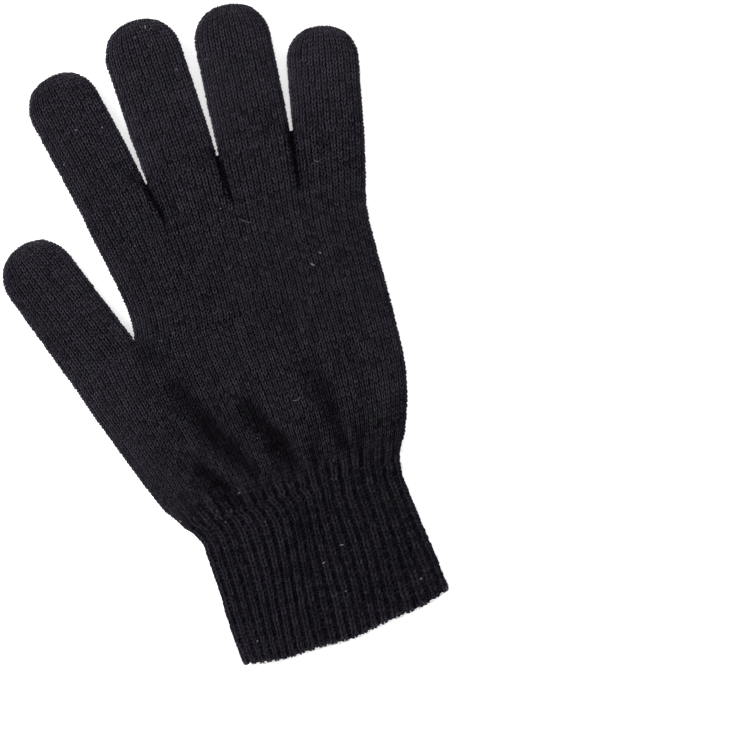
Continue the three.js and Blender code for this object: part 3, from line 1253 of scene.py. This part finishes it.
def read_uv(mesh: bpy.types.Mesh) -> np.ndarray:
    """Reads a mesh's UV map.

    Args:
        mesh: the mesh.

    Returns:
        The place of each face corner.
    """
    uv = np.zeros(len(mesh.loops) * 2, np.float32)
    mesh.uv_layers[UV_MAP].data.foreach_get("uv", uv)
    return uv.reshape(-1, 2)


def write_uv(mesh: bpy.types.Mesh, uv: np.ndarray) -> None:
    """Changes a mesh's UV map.

    Args:
        mesh: the mesh.
        uv: the place of each face corner.
    """
    mesh.uv_layers[UV_MAP].data.foreach_set("uv", uv.ravel())


def smooth(mesh: bpy.types.Mesh) -> None:
    """Shades a mesh's faces smoothly.

    Args:
        mesh: the mesh.
    """
    mesh.polygons.foreach_set("use_smooth", np.ones(len(mesh.polygons), bool))


def write_shade(mesh: bpy.types.Mesh, tone: np.ndarray, fold: np.ndarray) -> None:
    """Stores how the yarn looks at each vertex.

    Args:
        mesh: the mesh.
        tone: how pale the yarn is, with painted light and shade in it.
        fold: how much painted shade lies on it.
    """
    for name, values in ((TONE, tone), (PAINTED_FOLD_SHADE, fold)):
        attribute = mesh.attributes.new(name, "FLOAT", "POINT")
        attribute.data.foreach_set("value", values.astype(np.float32))


def as_object(mesh: bpy.types.Mesh, name: str) -> bpy.types.Object:
    """Links a mesh into the scene.

    Args:
        mesh: the mesh.
        name: the object's name.

    Returns:
        The object, at the origin.
    """
    made = bpy.data.objects.new(name, mesh)
    bpy.context.scene.collection.objects.link(made)
    return made


@dataclass(frozen=True)
class Shade:
    """How pale the yarn is at points, and how much painted shade lies on it at points and wales."""

    tone: Callable[[np.ndarray], np.ndarray]
    fold: Callable[[np.ndarray, np.ndarray], np.ndarray]
    spread: float = 0.18


@dataclass(frozen=True)
class Tones:
    """How pale the yarn is, painted light included, and how much painted shade lies on it, from place to
    place of the glove.

    Each run is where a change starts and where it is complete. The deepest shades are those of the dents,
    and of the dents with ribs in them.
    """

    plan: HandPlan
    limb: float = 0.435
    limb_tip: float = 0.1
    limb_tilt: float = 0.0011
    limb_run: tuple[float, float] = (4.2, 18.2)
    palm: float = 0.4
    palm_tilt: float = 0.0002
    wrist: float = -0.045
    wrist_run: tuple[float, float] = (-24.0, -58.0)
    thumb_base: float = 0.1
    thumb_across: tuple[float, float] = (-36.0, -52.0)
    thumb_along: tuple[float, float] = (10.0, -10.0)
    knuckle: float = 0.01
    knuckle_run: tuple[float, float] = (44.0, 56.0)
    height_drop: float = 0.11
    height_run: tuple[float, float] = (-61.0, 59.0)
    ribs: float = 0.105
    rib_spread: float = 0.13
    rising_ribs: float = 0.085
    rising_grown: float = 0.1
    under_ribs: float = -0.08
    hem: float = 0.05
    hem_run: tuple[float, float] = (-98.0, -108.0)
    corner: float = 0.1
    corner_run: tuple[float, float] = (-22.0, -32.0)
    # Painted light at the rounded sides: how much paler they are painted, and the shares of the height where
    # it starts and where it is full.
    edge: float = 0.27
    rim_light_run: tuple[float, float] = (0.92, 0.54)
    # Painted shade: in the dents, by depth past a start and up to its deepest, and in the ribs' grooves.
    dent_shade: float = 0.3
    dent_start: float = 0.2
    deepest_shade: tuple[float, float] = (0.88, 0.82)
    groove_shade: float = 0.25
    groove_power: float = 1.3

    def limb_shade(self, limb: Limb) -> Shade:
        """A finger's yarn, as dark as the palm's at its root and palest over the little finger.

        Args:
            limb: the finger or the thumb.

        Returns:
            Its shade, which has no painted fold shade.
        """

        def tone(points: np.ndarray) -> np.ndarray:
            """How pale the yarn is.

            Args:
                points: places on the yarn, in millimetres.

            Returns:
                The tone at each.
            """
            grown = ramp(limb.reach(points[:, 0], points[:, 1]), *self.limb_run)
            pale = self.limb + (self.limb_tip + self.limb_tilt * points[:, 0]) * grown
            # Painted light: the finger is painted paler at its rounded sides.
            return pale + self._painted_rim_light(points[:, 2], limb.height)

        def fold(points: np.ndarray, wale: np.ndarray) -> np.ndarray:
            """How much painted shade lies on it, which is none.

            Args:
                points: places on the yarn, in millimetres.
                wale: how far around each is; not used.

            Returns:
                The shade at each.
            """
            return np.zeros(len(points))

        return Shade(tone, fold)

    def palm_shade(self) -> Shade:
        """The hand's yarn."""
        return Shade(self._palm_tone, self._palm_painted_shade)

    def heel_shade(self) -> Shade:
        """The hand's yarn below the crotch, with the painted shade of the ribs that run up into it."""
        return Shade(self._palm_tone, self._heel_painted_shade)

    def rising_shade(self) -> Shade:
        """The yarn of the ribs that run up into the hand."""
        return Shade(self._rising_tone, self._rising_painted_shade, self.rib_spread)

    def rib_shade(self) -> Shade:
        """The cuff's yarn."""
        return Shade(self._rib_tone, self._rib_painted_shade, self.rib_spread)

    def _painted_rim_light(self, z: np.ndarray, height: np.ndarray | float) -> np.ndarray:
        """Painted light: how much paler the yarn is painted at the rounded sides, where light comes through
        its fuzz.

        Args:
            z: heights above the ground.
            height: the glove's height there.

        Returns:
            What the painted rim light adds to the tone.
        """
        top, bottom = self.rim_light_run
        return self.edge * np.clip((top * height - z) / ((top - bottom) * height), 0, 1)

    def _palm_tone(self, points: np.ndarray) -> np.ndarray:
        """The palm's yarn: darker towards the wrist, paler over the thumb's base, and with painted light at
        the rim.

        Args:
            points: places on the yarn, in millimetres.

        Returns:
            How pale it is.
        """
        x, y = points[:, 0], points[:, 1]
        base = ramp(x, *self.thumb_across) * ramp(y, *self.thumb_along)
        tone = self.palm + self.palm_tilt * x + self.wrist * ramp(y, *self.wrist_run)
        tone = tone + self.thumb_base * base + self.knuckle * ramp(y, *self.knuckle_run)
        height = self.plan.cuff.height * (1 - self.height_drop * ramp(y, *self.height_run))
        # Painted rim light, taken from the height the back would have without its dents.
        edge = self._painted_rim_light(points[:, 2] + self.plan.relief().depth(x, y), height)
        return tone + self.under_ribs * self.plan.rib_share(x, y) + edge

    def _palm_painted_shade(self, points: np.ndarray, wale: np.ndarray) -> np.ndarray:
        """The painted shade in the creases and gathers of the back.

        Args:
            points: places on the yarn, in millimetres.
            wale: how far around each point is, which makes no difference here.

        Returns:
            How deep it is.
        """
        top = np.clip(points[:, 2] / self.plan.cuff.height * 4 - 1, 0, 1)
        depth = np.maximum(0, self.plan.relief().depth(points[:, 0], points[:, 1]))
        return np.clip(self.dent_shade * (depth - self.dent_start) * top, 0, self.deepest_shade[0])

    def _rising_painted_shade(self, points: np.ndarray, rib: np.ndarray) -> np.ndarray:
        """The painted shade above the wrist, where the ribs run up into the gathers.

        Args:
            points: places on the yarn, in millimetres.
            rib: how far around each point is, in ribs.

        Returns:
            How deep it is.
        """
        fading = self.plan.rib_share(points[:, 0], points[:, 1])
        shade = self._palm_painted_shade(points, rib) + self._rib_painted_shade(points, rib) * fading
        return np.clip(shade, 0, self.deepest_shade[1])

    def _heel_painted_shade(self, points: np.ndarray, wale: np.ndarray) -> np.ndarray:
        """The painted shade on the hand below the crotch.

        Args:
            points: places on the yarn, in millimetres.
            wale: how far around each point is, in wales.

        Returns:
            How deep it is.
        """
        wales = 2 * (self.plan.thumb_wales + self.plan.palm_wales)
        return self._rising_painted_shade(points, wale * self.plan.cuff.ribs / wales)

    def _rib_painted_shade(self, points: np.ndarray, rib: np.ndarray) -> np.ndarray:
        """The painted shade in the grooves between the ribs.

        Args:
            points: places on the yarn, in millimetres; not used.
            rib: how far around each point is, in ribs.

        Returns:
            How deep it is.
        """
        return self.groove_shade * (0.5 + 0.5 * np.cos(2 * math.pi * rib)) ** self.groove_power

    def _rising_tone(self, points: np.ndarray) -> np.ndarray:
        """The yarn of the rising ribs, which turns into the palm's as they fade out.

        Args:
            points: places on the yarn, in millimetres.

        Returns:
            How pale it is.
        """
        gone = 1 - self.plan.rib_share(points[:, 0], points[:, 1])
        # Painted light: the ribs are painted paler at the rounded sides.
        return self.rising_ribs + self.rising_grown * gone + self._painted_rim_light(points[:, 2], self.plan.cuff.height)

    def _rib_tone(self, points: np.ndarray) -> np.ndarray:
        """The cuff's yarn, a little paler towards the hem and most at its left corner.

        Args:
            points: places on the yarn, in millimetres.

        Returns:
            How pale it is.
        """
        paler = self.hem + self.corner * ramp(points[:, 0], *self.corner_run)
        hem = paler * ramp(points[:, 1], *self.hem_run)
        # Painted light: the cuff is painted paler at its rounded sides.
        return self.ribs + hem + self._painted_rim_light(points[:, 2], self.plan.cuff.height)


@dataclass
class Knitter:
    """Knits pieces onto fabrics: arrays of stitches bent onto them, over a closed wall."""

    rng: np.random.Generator
    wander: float = 0.09
    bounce: float = 0.08
    wale_spread: float = 0.05
    # Painted shade: how much darker the wall is painted than the yarn, as the shade between the stitches.
    wall_painted_shade: float = 0.35
    # Painted light and shade: how much paler each stitch is painted where it stands high, and darker where it
    # lies low.
    painted_height_shade: float = 0.45
    stitch_uv: float = 0.9
    wall_uv: tuple[float, float] = (0.905, 0.045)
    hair_uv: tuple[float, float] = (0.996, 0.003)

    @staticmethod
    def _repeat(cell: bpy.types.Mesh, across: int, along: int = 1) -> bpy.types.Mesh:
        """Repeats a mesh a unit apart with Array modifiers.

        Args:
            cell: the mesh.
            across: how many times it is laid across.
            along: how many such rows there are.

        Returns:
            The repeated mesh.
        """
        flat = as_object(cell, "flat")
        for axis, count in enumerate((across, along)):
            array = flat.modifiers.new("repeat", "ARRAY")
            array.count = count
            array.use_relative_offset = False
            array.use_constant_offset = True
            array.constant_offset_displace = tuple(float(i == axis) for i in range(3))
        bpy.context.view_layer.update()
        mesh = bpy.data.meshes.new_from_object(flat.evaluated_get(bpy.context.evaluated_depsgraph_get()))
        bpy.data.objects.remove(flat)
        return mesh

    def panel(
        self,
        fabric: Fabric,
        cell: bpy.types.Mesh,
        wales: tuple[int, int],
        courses: tuple[int, int],
        shade: Shade,
        fade: tuple[float, float] | None = None,
    ) -> bpy.types.Object:
        """Repeats a stitch over a stretch of fabric.

        Args:
            fabric: the tube to knit on.
            cell: the stitch in its own cell.
            wales: the first wale and the one after the last.
            courses: the first course and the one after the last.
            shade: how pale and how shaded the yarn is.
            fade: the courses at which the stitches are sunk out of sight and wholly up.

        Returns:
            The joined stitches as one object.
        """
        wide = wales[1] - wales[0]
        long = courses[1] - courses[0]
        mesh = self._repeat(cell, wide, long)
        places = read_points(mesh)
        count = len(cell.vertices)
        number, vertex = np.divmod(np.arange(len(places)), count)
        leg = np.minimum(vertex // max(1, count // 2), 1)
        cells = wide * long
        size = np.array([fabric.wale_size(), fabric.course_size()])
        shift = self.rng.normal(0, self.wander, (cells, 2)) / size
        bounce = self.rng.normal(0, self.bounce, cells)
        pale = self.rng.normal(0, shade.spread, (cells, 2))
        pale += self.rng.normal(0, self.wale_spread, wide)[np.arange(cells) % wide, None]
        course = places[:, 1] + courses[0]
        sunk = ramp(course, fade[1], fade[0]) if fade else 0.0
        points = fabric.place(
            places[:, 0] + wales[0] + shift[number, 0],
            course + shift[number, 1],
            places[:, 2] + bounce[number] - sunk,
        )
        write_points(mesh, points)
        uv = read_uv(mesh)
        row, column = np.divmod(np.arange(len(uv)) // len(cell.loops), wide)
        uv[:, 0] = (uv[:, 0] + column) / wide * self.stitch_uv
        uv[:, 1] = (uv[:, 1] + row) / long
        write_uv(mesh, uv)
        tone = shade.tone(points) + pale[number, leg]
        # Painted light and shade: paler where the stitch stands high, darker where it lies low.
        tone += self.painted_height_shade * np.clip(places[:, 2], -0.5, 0.5)
        write_shade(mesh, tone, shade.fold(points, places[:, 0]))
        smooth(mesh)
        return as_object(mesh, "panel")

    def fuzz(self, fabric: Fabric, hairs: Fuzz) -> bpy.types.Object:
        """Lays loose hairs over a stretch of fabric.

        Args:
            fabric: the tube.
            hairs: where and how they lie.

        Returns:
            The joined hairs as one object.
        """
        cell = Hair().mesh()
        mesh = self._repeat(cell, hairs.count)
        unit = np.tile(read_points(cell), (hairs.count, 1))
        number = np.arange(len(unit)) // len(cell.vertices)
        draw = self.rng.uniform
        turn = draw(0, 2 * math.pi, hairs.count)[number]
        length = draw(*hairs.length, hairs.count)[number]
        bend = self.rng.normal(0, hairs.bend, hairs.count)[number] * length
        lift = draw(*hairs.lift, hairs.count)[number]
        share = unit[:, 2]
        run = (share - 0.5) * length
        aside = bend * ((share - 0.5) ** 2 - 0.08) + unit[:, 0] * hairs.thick
        dx = run * np.cos(turn) - aside * np.sin(turn)
        dy = run * np.sin(turn) + aside * np.cos(turn)
        wale = draw(*hairs.wales, hairs.count)[number] + dx / hairs.pitch[0]
        course = draw(*hairs.courses, hairs.count)[number] + dy / hairs.pitch[1]
        height = hairs.base + lift * share**2 + unit[:, 1] * hairs.thick
        write_points(mesh, fabric.place(wale, course, height))
        uv = read_uv(mesh)
        row = np.arange(len(uv)) // len(cell.loops)
        uv[:, 0] = self.hair_uv[0] + self.hair_uv[1] * uv[:, 0]
        uv[:, 1] = (row + 0.9 * uv[:, 1]) / hairs.count
        write_uv(mesh, uv)
        tone = hairs.tone + self.rng.normal(0, hairs.tone_spread, hairs.count)[number]
        write_shade(mesh, tone, np.zeros(len(number)))
        return as_object(mesh, "hairs")

    def wall(
        self,
        fabric: Fabric,
        courses: tuple[float, float],
        steps: tuple[int, int],
        shade: Shade,
        sink: float = 0.28,
        thick: float = 0.9,
    ) -> bpy.types.Object:
        """Makes the closed wall of cloth under a stretch of stitches, painted darker as the shade between
        them.

        Args:
            fabric: the tube.
            courses: where the wall starts and ends.
            steps: how many steps it has around and along.
            shade: how pale and how shaded it is.
            sink: how far its outer face lies under the fabric's middle.
            thick: its thickness.

        Returns:
            The wall as an object.
        """
        bm = blank()
        layer = bm.loops.layers.uv[UV_MAP]
        bmesh.ops.create_grid(bm, x_segments=steps[0], y_segments=steps[1], size=0.5, calc_uvs=True)
        outer = list(bm.faces)
        slab = bmesh.ops.extrude_face_region(bm, geom=outer, use_keep_orig=True)["geom"]
        inner = [item for item in slab if isinstance(item, bmesh.types.BMVert)]
        bmesh.ops.translate(bm, verts=inner, vec=(0, 0, -1))
        seam = [face for face in bm.faces if all(abs(vert.co.x) > 0.4999 for vert in face.verts)]
        bmesh.ops.delete(bm, geom=seam, context="FACES_ONLY")
        left, wide = self.wall_uv
        for face in bm.faces:
            for loop in face.loops:
                x, y, z = loop.vert.co
                loop[layer].uv = (left + wide * (x + 0.5 + (z < -0.5)), y + 0.5)
        mesh = bpy.data.meshes.new("wall")
        bm.to_mesh(mesh)
        bm.free()
        flat = read_points(mesh)
        course = courses[0] + (flat[:, 1] + 0.5) * (courses[1] - courses[0])
        wale = (flat[:, 0] + 0.5) * fabric.wales
        points = fabric.place(wale, course, flat[:, 2] * thick - sink)
        write_points(mesh, points)
        # The wall is painted darker than the yarn, as the shade between the stitches.
        write_shade(mesh, shade.tone(points) - self.wall_painted_shade, shade.fold(points, wale))
        bm = bmesh.new()
        bm.from_mesh(mesh)
        bpy.data.meshes.remove(mesh)
        bmesh.ops.remove_doubles(bm, verts=bm.verts, dist=0.01 * MM)
        mesh = finished(bm, "closed_wall")
        smooth(mesh)
        return as_object(mesh, "wall")


def join(parts: list[bpy.types.Object], name: str, material: bpy.types.Material) -> bpy.types.Object:
    """Joins parts into one piece with one finish.

    Args:
        parts: the parts, of which the first stays.
        name: the piece's name.
        material: its finish.

    Returns:
        The piece.
    """
    with bpy.context.temp_override(
        active_object=parts[0], object=parts[0], selected_objects=parts, selected_editable_objects=parts
    ):
        bpy.ops.object.join()
    piece = parts[0]
    piece.name = name
    piece.data.name = name
    piece.data.materials.clear()
    piece.data.materials.append(material)
    return piece


def hand_over(piece: bpy.types.Object, node: str) -> None:
    """Lets a piece ride on the part and stand for a node.

    Args:
        piece: the finished piece.
        node: the part's node that it stands for.
    """
    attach(piece, "root")
    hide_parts(node)
    log.info("%s: %d faces", piece.name, len(piece.data.polygons))


@dataclass(frozen=True)
class Speck:
    """A bit of pale fluff caught on the knit: short and thick, or a long thin bent fibre."""

    x: float
    y: float
    length: float = 0.9
    thick: float = 0.3
    turn: float = 0.0
    bend: float = 0.0

    def build(self, height: float) -> bpy.types.Object:
        """Models the speck lying on the knit.

        Args:
            height: the knit's height there, in millimetres.

        Returns:
            The speck as an object.
        """
        bm = blank()
        turn = math.radians(self.turn)
        for vert in ball(bm, 5, 8):
            run = vert.co.z * self.length / 2
            aside = vert.co.x * self.thick / 2 + self.bend * (vert.co.z**2 - 0.5)
            up = height + self.thick * (0.3 + 0.5 * vert.co.y)
            x = self.x + run * math.cos(turn) - aside * math.sin(turn)
            y = self.y + run * math.sin(turn) + aside * math.cos(turn)
            vert.co = (x * MM, y * MM, up * MM)
        return as_object(finished(bm, "speck"), "speck")


FLUFF = (
    Speck(-38.0, 46.4, 0.9, 0.32, 40),
    Speck(23.7, 14.3, 1.7, 0.75, -50),
    Speck(6.1, -29.6, 3.2, 0.3, 10, 0.7),
    Speck(-4.8, -45.9, 1.2, 0.4, 70),
    Speck(31.8, -101.3, 1.2, 0.6, 25),
    Speck(-44.0, 81.0, 1.3, 0.5, 10),
    Speck(-34.9, 79.6, 0.9, 0.35, 60),
    Speck(-4.6, 92.5, 0.9, 0.5, 0),
    Speck(-11.3, 109.5, 1.4, 0.4, 75),
    Speck(-15.6, 107.0, 1.2, 0.35, 15),
    Speck(-2.3, 41.5, 0.7, 0.3, 0),
    Speck(5.3, 34.8, 5.4, 0.13, -32, 0.2),
    Speck(16.6, 19.1, 4.4, 0.13, 5, 1.2),
    Speck(8.2, -82.7, 1.4, 0.4, -10),
    Speck(0.5, -87.1, 1.3, 0.35, 20),
    Speck(34.5, 49.1, 2.8, 0.16, -20, 1.0),
    Speck(-21.6, -55.9, 1.2, 0.4, 30),
    Speck(-44.1, -60.3, 1.1, 0.45, -30),
    Speck(-51.1, 70.5, 0.8, 0.35, 20),
    Speck(6.4, 93.2, 0.7, 0.3, 0),
    Speck(-29.5, 3.9, 0.8, 0.3, 50),
    Speck(5.4, -98.6, 0.8, 0.35, 0),
    Speck(-28.9, -107.5, 0.9, 0.4, 40),
    Speck(27.3, 17.6, 1.2, 0.35, -60),
    Speck(-45.1, -23.5, 0.7, 0.3, 0),
)


@dataclass(frozen=True)
class Cells:
    """The meshes of the stitches, each made once and then repeated."""

    back: bpy.types.Mesh
    under: bpy.types.Mesh
    rib: bpy.types.Mesh
    under_rib: bpy.types.Mesh
    purl: bpy.types.Mesh


@dataclass
class Glove:
    """The whole glove, piece by piece."""

    plan: HandPlan = HandPlan()
    knit: Knitter = field(default_factory=lambda: Knitter(np.random.default_rng(SEED)))
    stitch: Stitch = Stitch()
    rib_stitch: Stitch = Stitch(
        foot=0.1, spread=0.12, start=-0.22, reach=1.44, thick=0.15, high=0.36, swell=0.08, tuck=0.22
    )
    purl: PurlBar = PurlBar()
    jersey: YarnFinish = YarnFinish("jersey_yarn", (0.0012, 0.0008, 0.0017), (0.037, 0.0318, 0.0455))
    rib: YarnFinish = YarnFinish("rib_yarn", (0.001, 0.0007, 0.0018), (0.0285, 0.0238, 0.0385))
    lint: PlainFinish = PlainFinish("pale_fluff", (0.14, 0.13, 0.14))
    rising_courses: int = 9
    rising_fade: tuple[float, float] = (9.5, 3.5)
    heel_fade: tuple[float, float] = (0.0, 6.0)
    stub_fade: tuple[float, float] = (-1.0, 0.4)
    rib_pitch: tuple[float, float] = (3.6, COURSE)

    def build(self) -> None:
        """Knits every piece and hands it over."""
        jersey = self.jersey.material()
        rib = self.rib.material()
        tones = Tones(self.plan)
        cells = Cells(
            self.stitch.mesh(),
            replace(self.stitch, sides=3, rings=3).mesh(),
            self.rib_stitch.mesh(),
            replace(self.rib_stitch, sides=3, rings=3).mesh(),
            self.purl.mesh(),
        )
        limbs = [(limb, limb.fabric()) for limb in (self.plan.thumb, *self.plan.fingers)]
        for limb, fabric in limbs:
            parts = self._limb(limb, fabric, cells, tones.limb_shade(limb))
            hand_over(join(parts, f"knit_{limb.name}", jersey), limb.name)
        lower = self.plan.lower()
        upper = self.plan.upper()
        for name, parts in (
            ("knit_heel_back", self._heel(lower, cells, tones)),
            ("knit_hand_back", self._hand_back(upper, limbs, cells, tones)),
            ("knit_palm_side", self._palm_side(lower, upper, cells, tones)),
        ):
            hand_over(join(parts, name, jersey), "hand")
        hand_over(join(self._cuff(cells, tones), "knit_cuff", rib), "cuff")
        self._add_fluff()

    def _limb(self, limb: Limb, fabric: Fabric, cells: Cells, shade: Shade) -> list[bpy.types.Object]:
        """Knits a finger or the thumb.

        Args:
            limb: its plan.
            fabric: its tube.
            cells: the stitches.
            shade: its yarn.

        Returns:
            Its stitches, wall and hairs, with more hairs at its edges and its tip.
        """
        first = limb.stub_courses
        last = fabric.courses
        half = limb.wales // 2
        side = {"lift": (0.1, 0.6), "base": 0.2}
        tip = {"length": (0.5, 1.5), "lift": (0.1, 0.7), "base": 0.1, "thick": 0.045, "tone": 1.8}
        return [
            self.knit.panel(fabric, cells.back, (0, half), (first, last), shade),
            self.knit.panel(fabric, cells.under, (half, limb.wales), (first, last), shade),
            self.knit.wall(fabric, (first - 0.3, last), (56, 40), shade),
            self.knit.fuzz(fabric, Fuzz(220, (-0.4, half + 0.4), (first, last - 1))),
            self.knit.fuzz(fabric, Fuzz(110, (-0.7, 0.5), (first, last), **side)),
            self.knit.fuzz(fabric, Fuzz(110, (half - 0.5, half + 0.7), (first, last), **side)),
            self.knit.fuzz(fabric, Fuzz(260, (0, half), (last - 2.5, last), **tip)),
        ]

    def _heel(self, lower: Fabric, cells: Cells, tones: Tones) -> list[bpy.types.Object]:
        """Knits the back of the hand below the crotch, out of which the cuff's ribs fade.

        Args:
            lower: the hand's tube below the crotch.
            cells: the stitches.
            tones: the glove's yarn.

        Returns:
            The stitches, the rising ribs, the wall and the hairs.
        """
        half = lower.wales // 2
        last = lower.courses
        shade = tones.heel_shade()
        return [
            self.knit.panel(lower, cells.back, (0, half), (1, last), shade, self.heel_fade),
            self._rising(lower, cells, tones, Side.BACK),
            self.knit.wall(lower, (-0.5, last + 0.4), (168, 45), shade),
            self.knit.fuzz(lower, Fuzz(1500, (-0.4, half + 0.4), (0.5, last - 0.5))),
        ]

    def _rising(self, lower: Fabric, cells: Cells, tones: Tones, side: Side) -> bpy.types.Object:
        """Knits the ribs that run up into the hand, apart from those at its very sides.

        Args:
            lower: the hand's tube below the crotch.
            cells: the stitches.
            tones: the glove's yarn.
            side: the face that they are on.

        Returns:
            The ribs.
        """
        ribs = self.plan.cuff.ribs
        fabric = Fabric(lower.loops, ribs, lower.courses)
        span = (1, ribs // 2 - 1) if side is Side.BACK else (ribs // 2 + 1, ribs - 1)
        courses = (0, self.rising_courses)
        return self.knit.panel(fabric, cells.rib, span, courses, tones.rising_shade(), self.rising_fade)

    def _hand_back(
        self, upper: Fabric, limbs: list[tuple[Limb, Fabric]], cells: Cells, tones: Tones
    ) -> list[bpy.types.Object]:
        """Knits the back of the hand from the crotch to the knuckles, with the fingers' roots.

        Args:
            upper: the hand's tube above the crotch.
            limbs: the thumb and the fingers with their tubes.
            cells: the stitches.
            tones: the glove's yarn.

        Returns:
            The stitches, walls and hairs.
        """
        half = upper.wales // 2
        last = upper.courses
        shade = tones.palm_shade()
        parts = [
            self.knit.panel(upper, cells.back, (0, half), (0, last), shade),
            self.knit.wall(upper, (0, last + 0.5), (138, 60), shade),
            self.knit.fuzz(upper, Fuzz(1500, (-0.4, half + 0.4), (0.5, last))),
        ]
        for limb, fabric in limbs:
            half = limb.wales // 2
            end = limb.stub_courses
            parts += [
                self.knit.panel(fabric, cells.back, (0, half), (-1, end), shade, self.stub_fade),
                self.knit.panel(fabric, cells.under, (half, limb.wales), (-1, end), shade, self.stub_fade),
                self.knit.wall(fabric, (-0.5, end), (56, 5), shade),
                self.knit.fuzz(fabric, Fuzz(90, (-0.4, half + 0.4), (-1, end + 1))),
            ]
        return parts

    def _palm_side(self, lower: Fabric, upper: Fabric, cells: Cells, tones: Tones) -> list[bpy.types.Object]:
        """Knits the underside of the hand.

        Args:
            lower: the hand's tube below the crotch.
            upper: its tube above the crotch.
            cells: the stitches.
            tones: the glove's yarn.

        Returns:
            The stitches and the rising ribs.
        """
        spans = [(fabric.wales // 2, fabric.wales) for fabric in (lower, upper)]
        shade = tones.palm_shade()
        return [
            self.knit.panel(lower, cells.under, spans[0], (1, lower.courses), shade, self.heel_fade),
            self._rising(lower, cells, tones, Side.UNDER),
            self.knit.panel(upper, cells.under, spans[1], (0, upper.courses), shade),
        ]

    def _cuff(self, cells: Cells, tones: Tones) -> list[bpy.types.Object]:
        """Knits the cuff, with the first courses inside its hem.

        Args:
            cells: the stitches.
            tones: the glove's yarn.

        Returns:
            The ribs, the purl bars between them, the wall and the hairs, which are densest on the hem.
        """
        plan = self.plan.cuff
        fabric = plan.fabric()
        half = plan.ribs // 2
        hem = plan.inner_courses
        courses = (hem - 4, fabric.courses)
        shade = tones.rib_shade()
        pitch = self.rib_pitch
        edge = {"length": (0.4, 1.2), "lift": (0.0, 0.4), "base": 0.3, "tone": 1.8}
        return [
            self.knit.panel(fabric, cells.rib, (0, half), courses, shade),
            self.knit.panel(fabric, cells.under_rib, (half, plan.ribs), courses, shade),
            self.knit.panel(fabric, cells.purl, (0, plan.ribs), courses, shade),
            self.knit.wall(fabric, (0, fabric.courses), (210, 60), shade, 0.34, 0.8),
            self.knit.fuzz(fabric, Fuzz(1500, (-0.3, half + 0.3), (hem, fabric.courses), pitch=pitch)),
            self.knit.fuzz(fabric, Fuzz(700, (0, half), (hem + 0.8, hem + 2.2), pitch=pitch, **edge)),
        ]

    def _add_fluff(self) -> None:
        """Lays the bits of fluff where they landed on the back."""
        view = bpy.context.evaluated_depsgraph_get()
        bits = []
        for speck in FLUFF:
            above = (speck.x * MM, speck.y * MM, 0.05)
            hit, place, *_ = bpy.context.scene.ray_cast(view, above, (0, 0, -1))
            if hit:
                bits.append(speck.build(place.z / MM))
        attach(join(bits, "fluff", self.lint.material()), "root")


@dataclass
class Studio:
    """The pale ground, the soft light and the camera straight above."""

    turn: float = -15.0
    looks_at: tuple[float, float] = (34.7, -28.5)
    frame_width: float = 262.5
    distance: float = 2200.0
    sensor: float = 36.0
    floor_size: float = 9000.0
    floor_drop: float = 0.05
    window_place: tuple[float, float, float] = (-0.75, 0.55, 0.62)
    window_size: float = 0.6
    window_watts: float = 16.0
    ground: PlainFinish = PlainFinish("pale_ground", (0.88, 0.88, 0.88), glow=0.55)

    def build(self) -> None:
        """Sets the ground, lights and camera."""
        self._floor()
        self._lights()
        self._camera()

    def _floor(self) -> None:
        """Lays the ground just under the glove."""
        bm = bmesh.new()
        bmesh.ops.create_grid(bm, x_segments=1, y_segments=1, size=self.floor_size * MM / 2)
        bmesh.ops.translate(bm, verts=bm.verts, vec=(0, 0, -self.floor_drop * MM))
        mesh = bpy.data.meshes.new("ground")
        bm.to_mesh(mesh)
        bm.free()
        mesh.materials.append(self.ground.material())
        as_object(mesh, "ground")

    def _lights(self) -> None:
        """Fills the room with even light, with one soft light from the upper left of the picture."""
        world = bpy.data.worlds.new("room")
        bpy.context.scene.world = world
        world.use_nodes = True
        light = world.node_tree.nodes["Background"]
        light.inputs["Color"].default_value = (1, 1, 1, 1)
        light.inputs["Strength"].default_value = 1.0
        lamp = bpy.data.lights.new("window", "AREA")
        lamp.energy = self.window_watts
        lamp.size = self.window_size
        made = bpy.data.objects.new("window", lamp)
        bpy.context.scene.collection.objects.link(made)
        made.location = self.window_place
        made.rotation_mode = "QUATERNION"
        made.rotation_quaternion = (-made.location).to_track_quat("-Z", "Y")
        bpy.context.scene.view_settings.view_transform = "Standard"

    def _camera(self) -> None:
        """Looks straight down, turned as the glove lies in the picture."""
        camera = bpy.data.cameras.new("above")
        camera.sensor_width = self.sensor
        camera.lens = self.sensor * self.distance / self.frame_width
        camera.clip_start = 0.05
        camera.clip_end = 50.0
        made = bpy.data.objects.new("above", camera)
        bpy.context.scene.collection.objects.link(made)
        made.location = (self.looks_at[0] * MM, self.looks_at[1] * MM, self.distance * MM)
        made.rotation_euler = (0, 0, math.radians(self.turn))
        bpy.context.scene.camera = made


def main() -> None:
    """Builds the studio and the glove."""
    logging.basicConfig(level=logging.INFO, format="%(name)s: %(message)s")
    Studio().build()
    Glove().build()


if __name__ == "__main__":
    main()
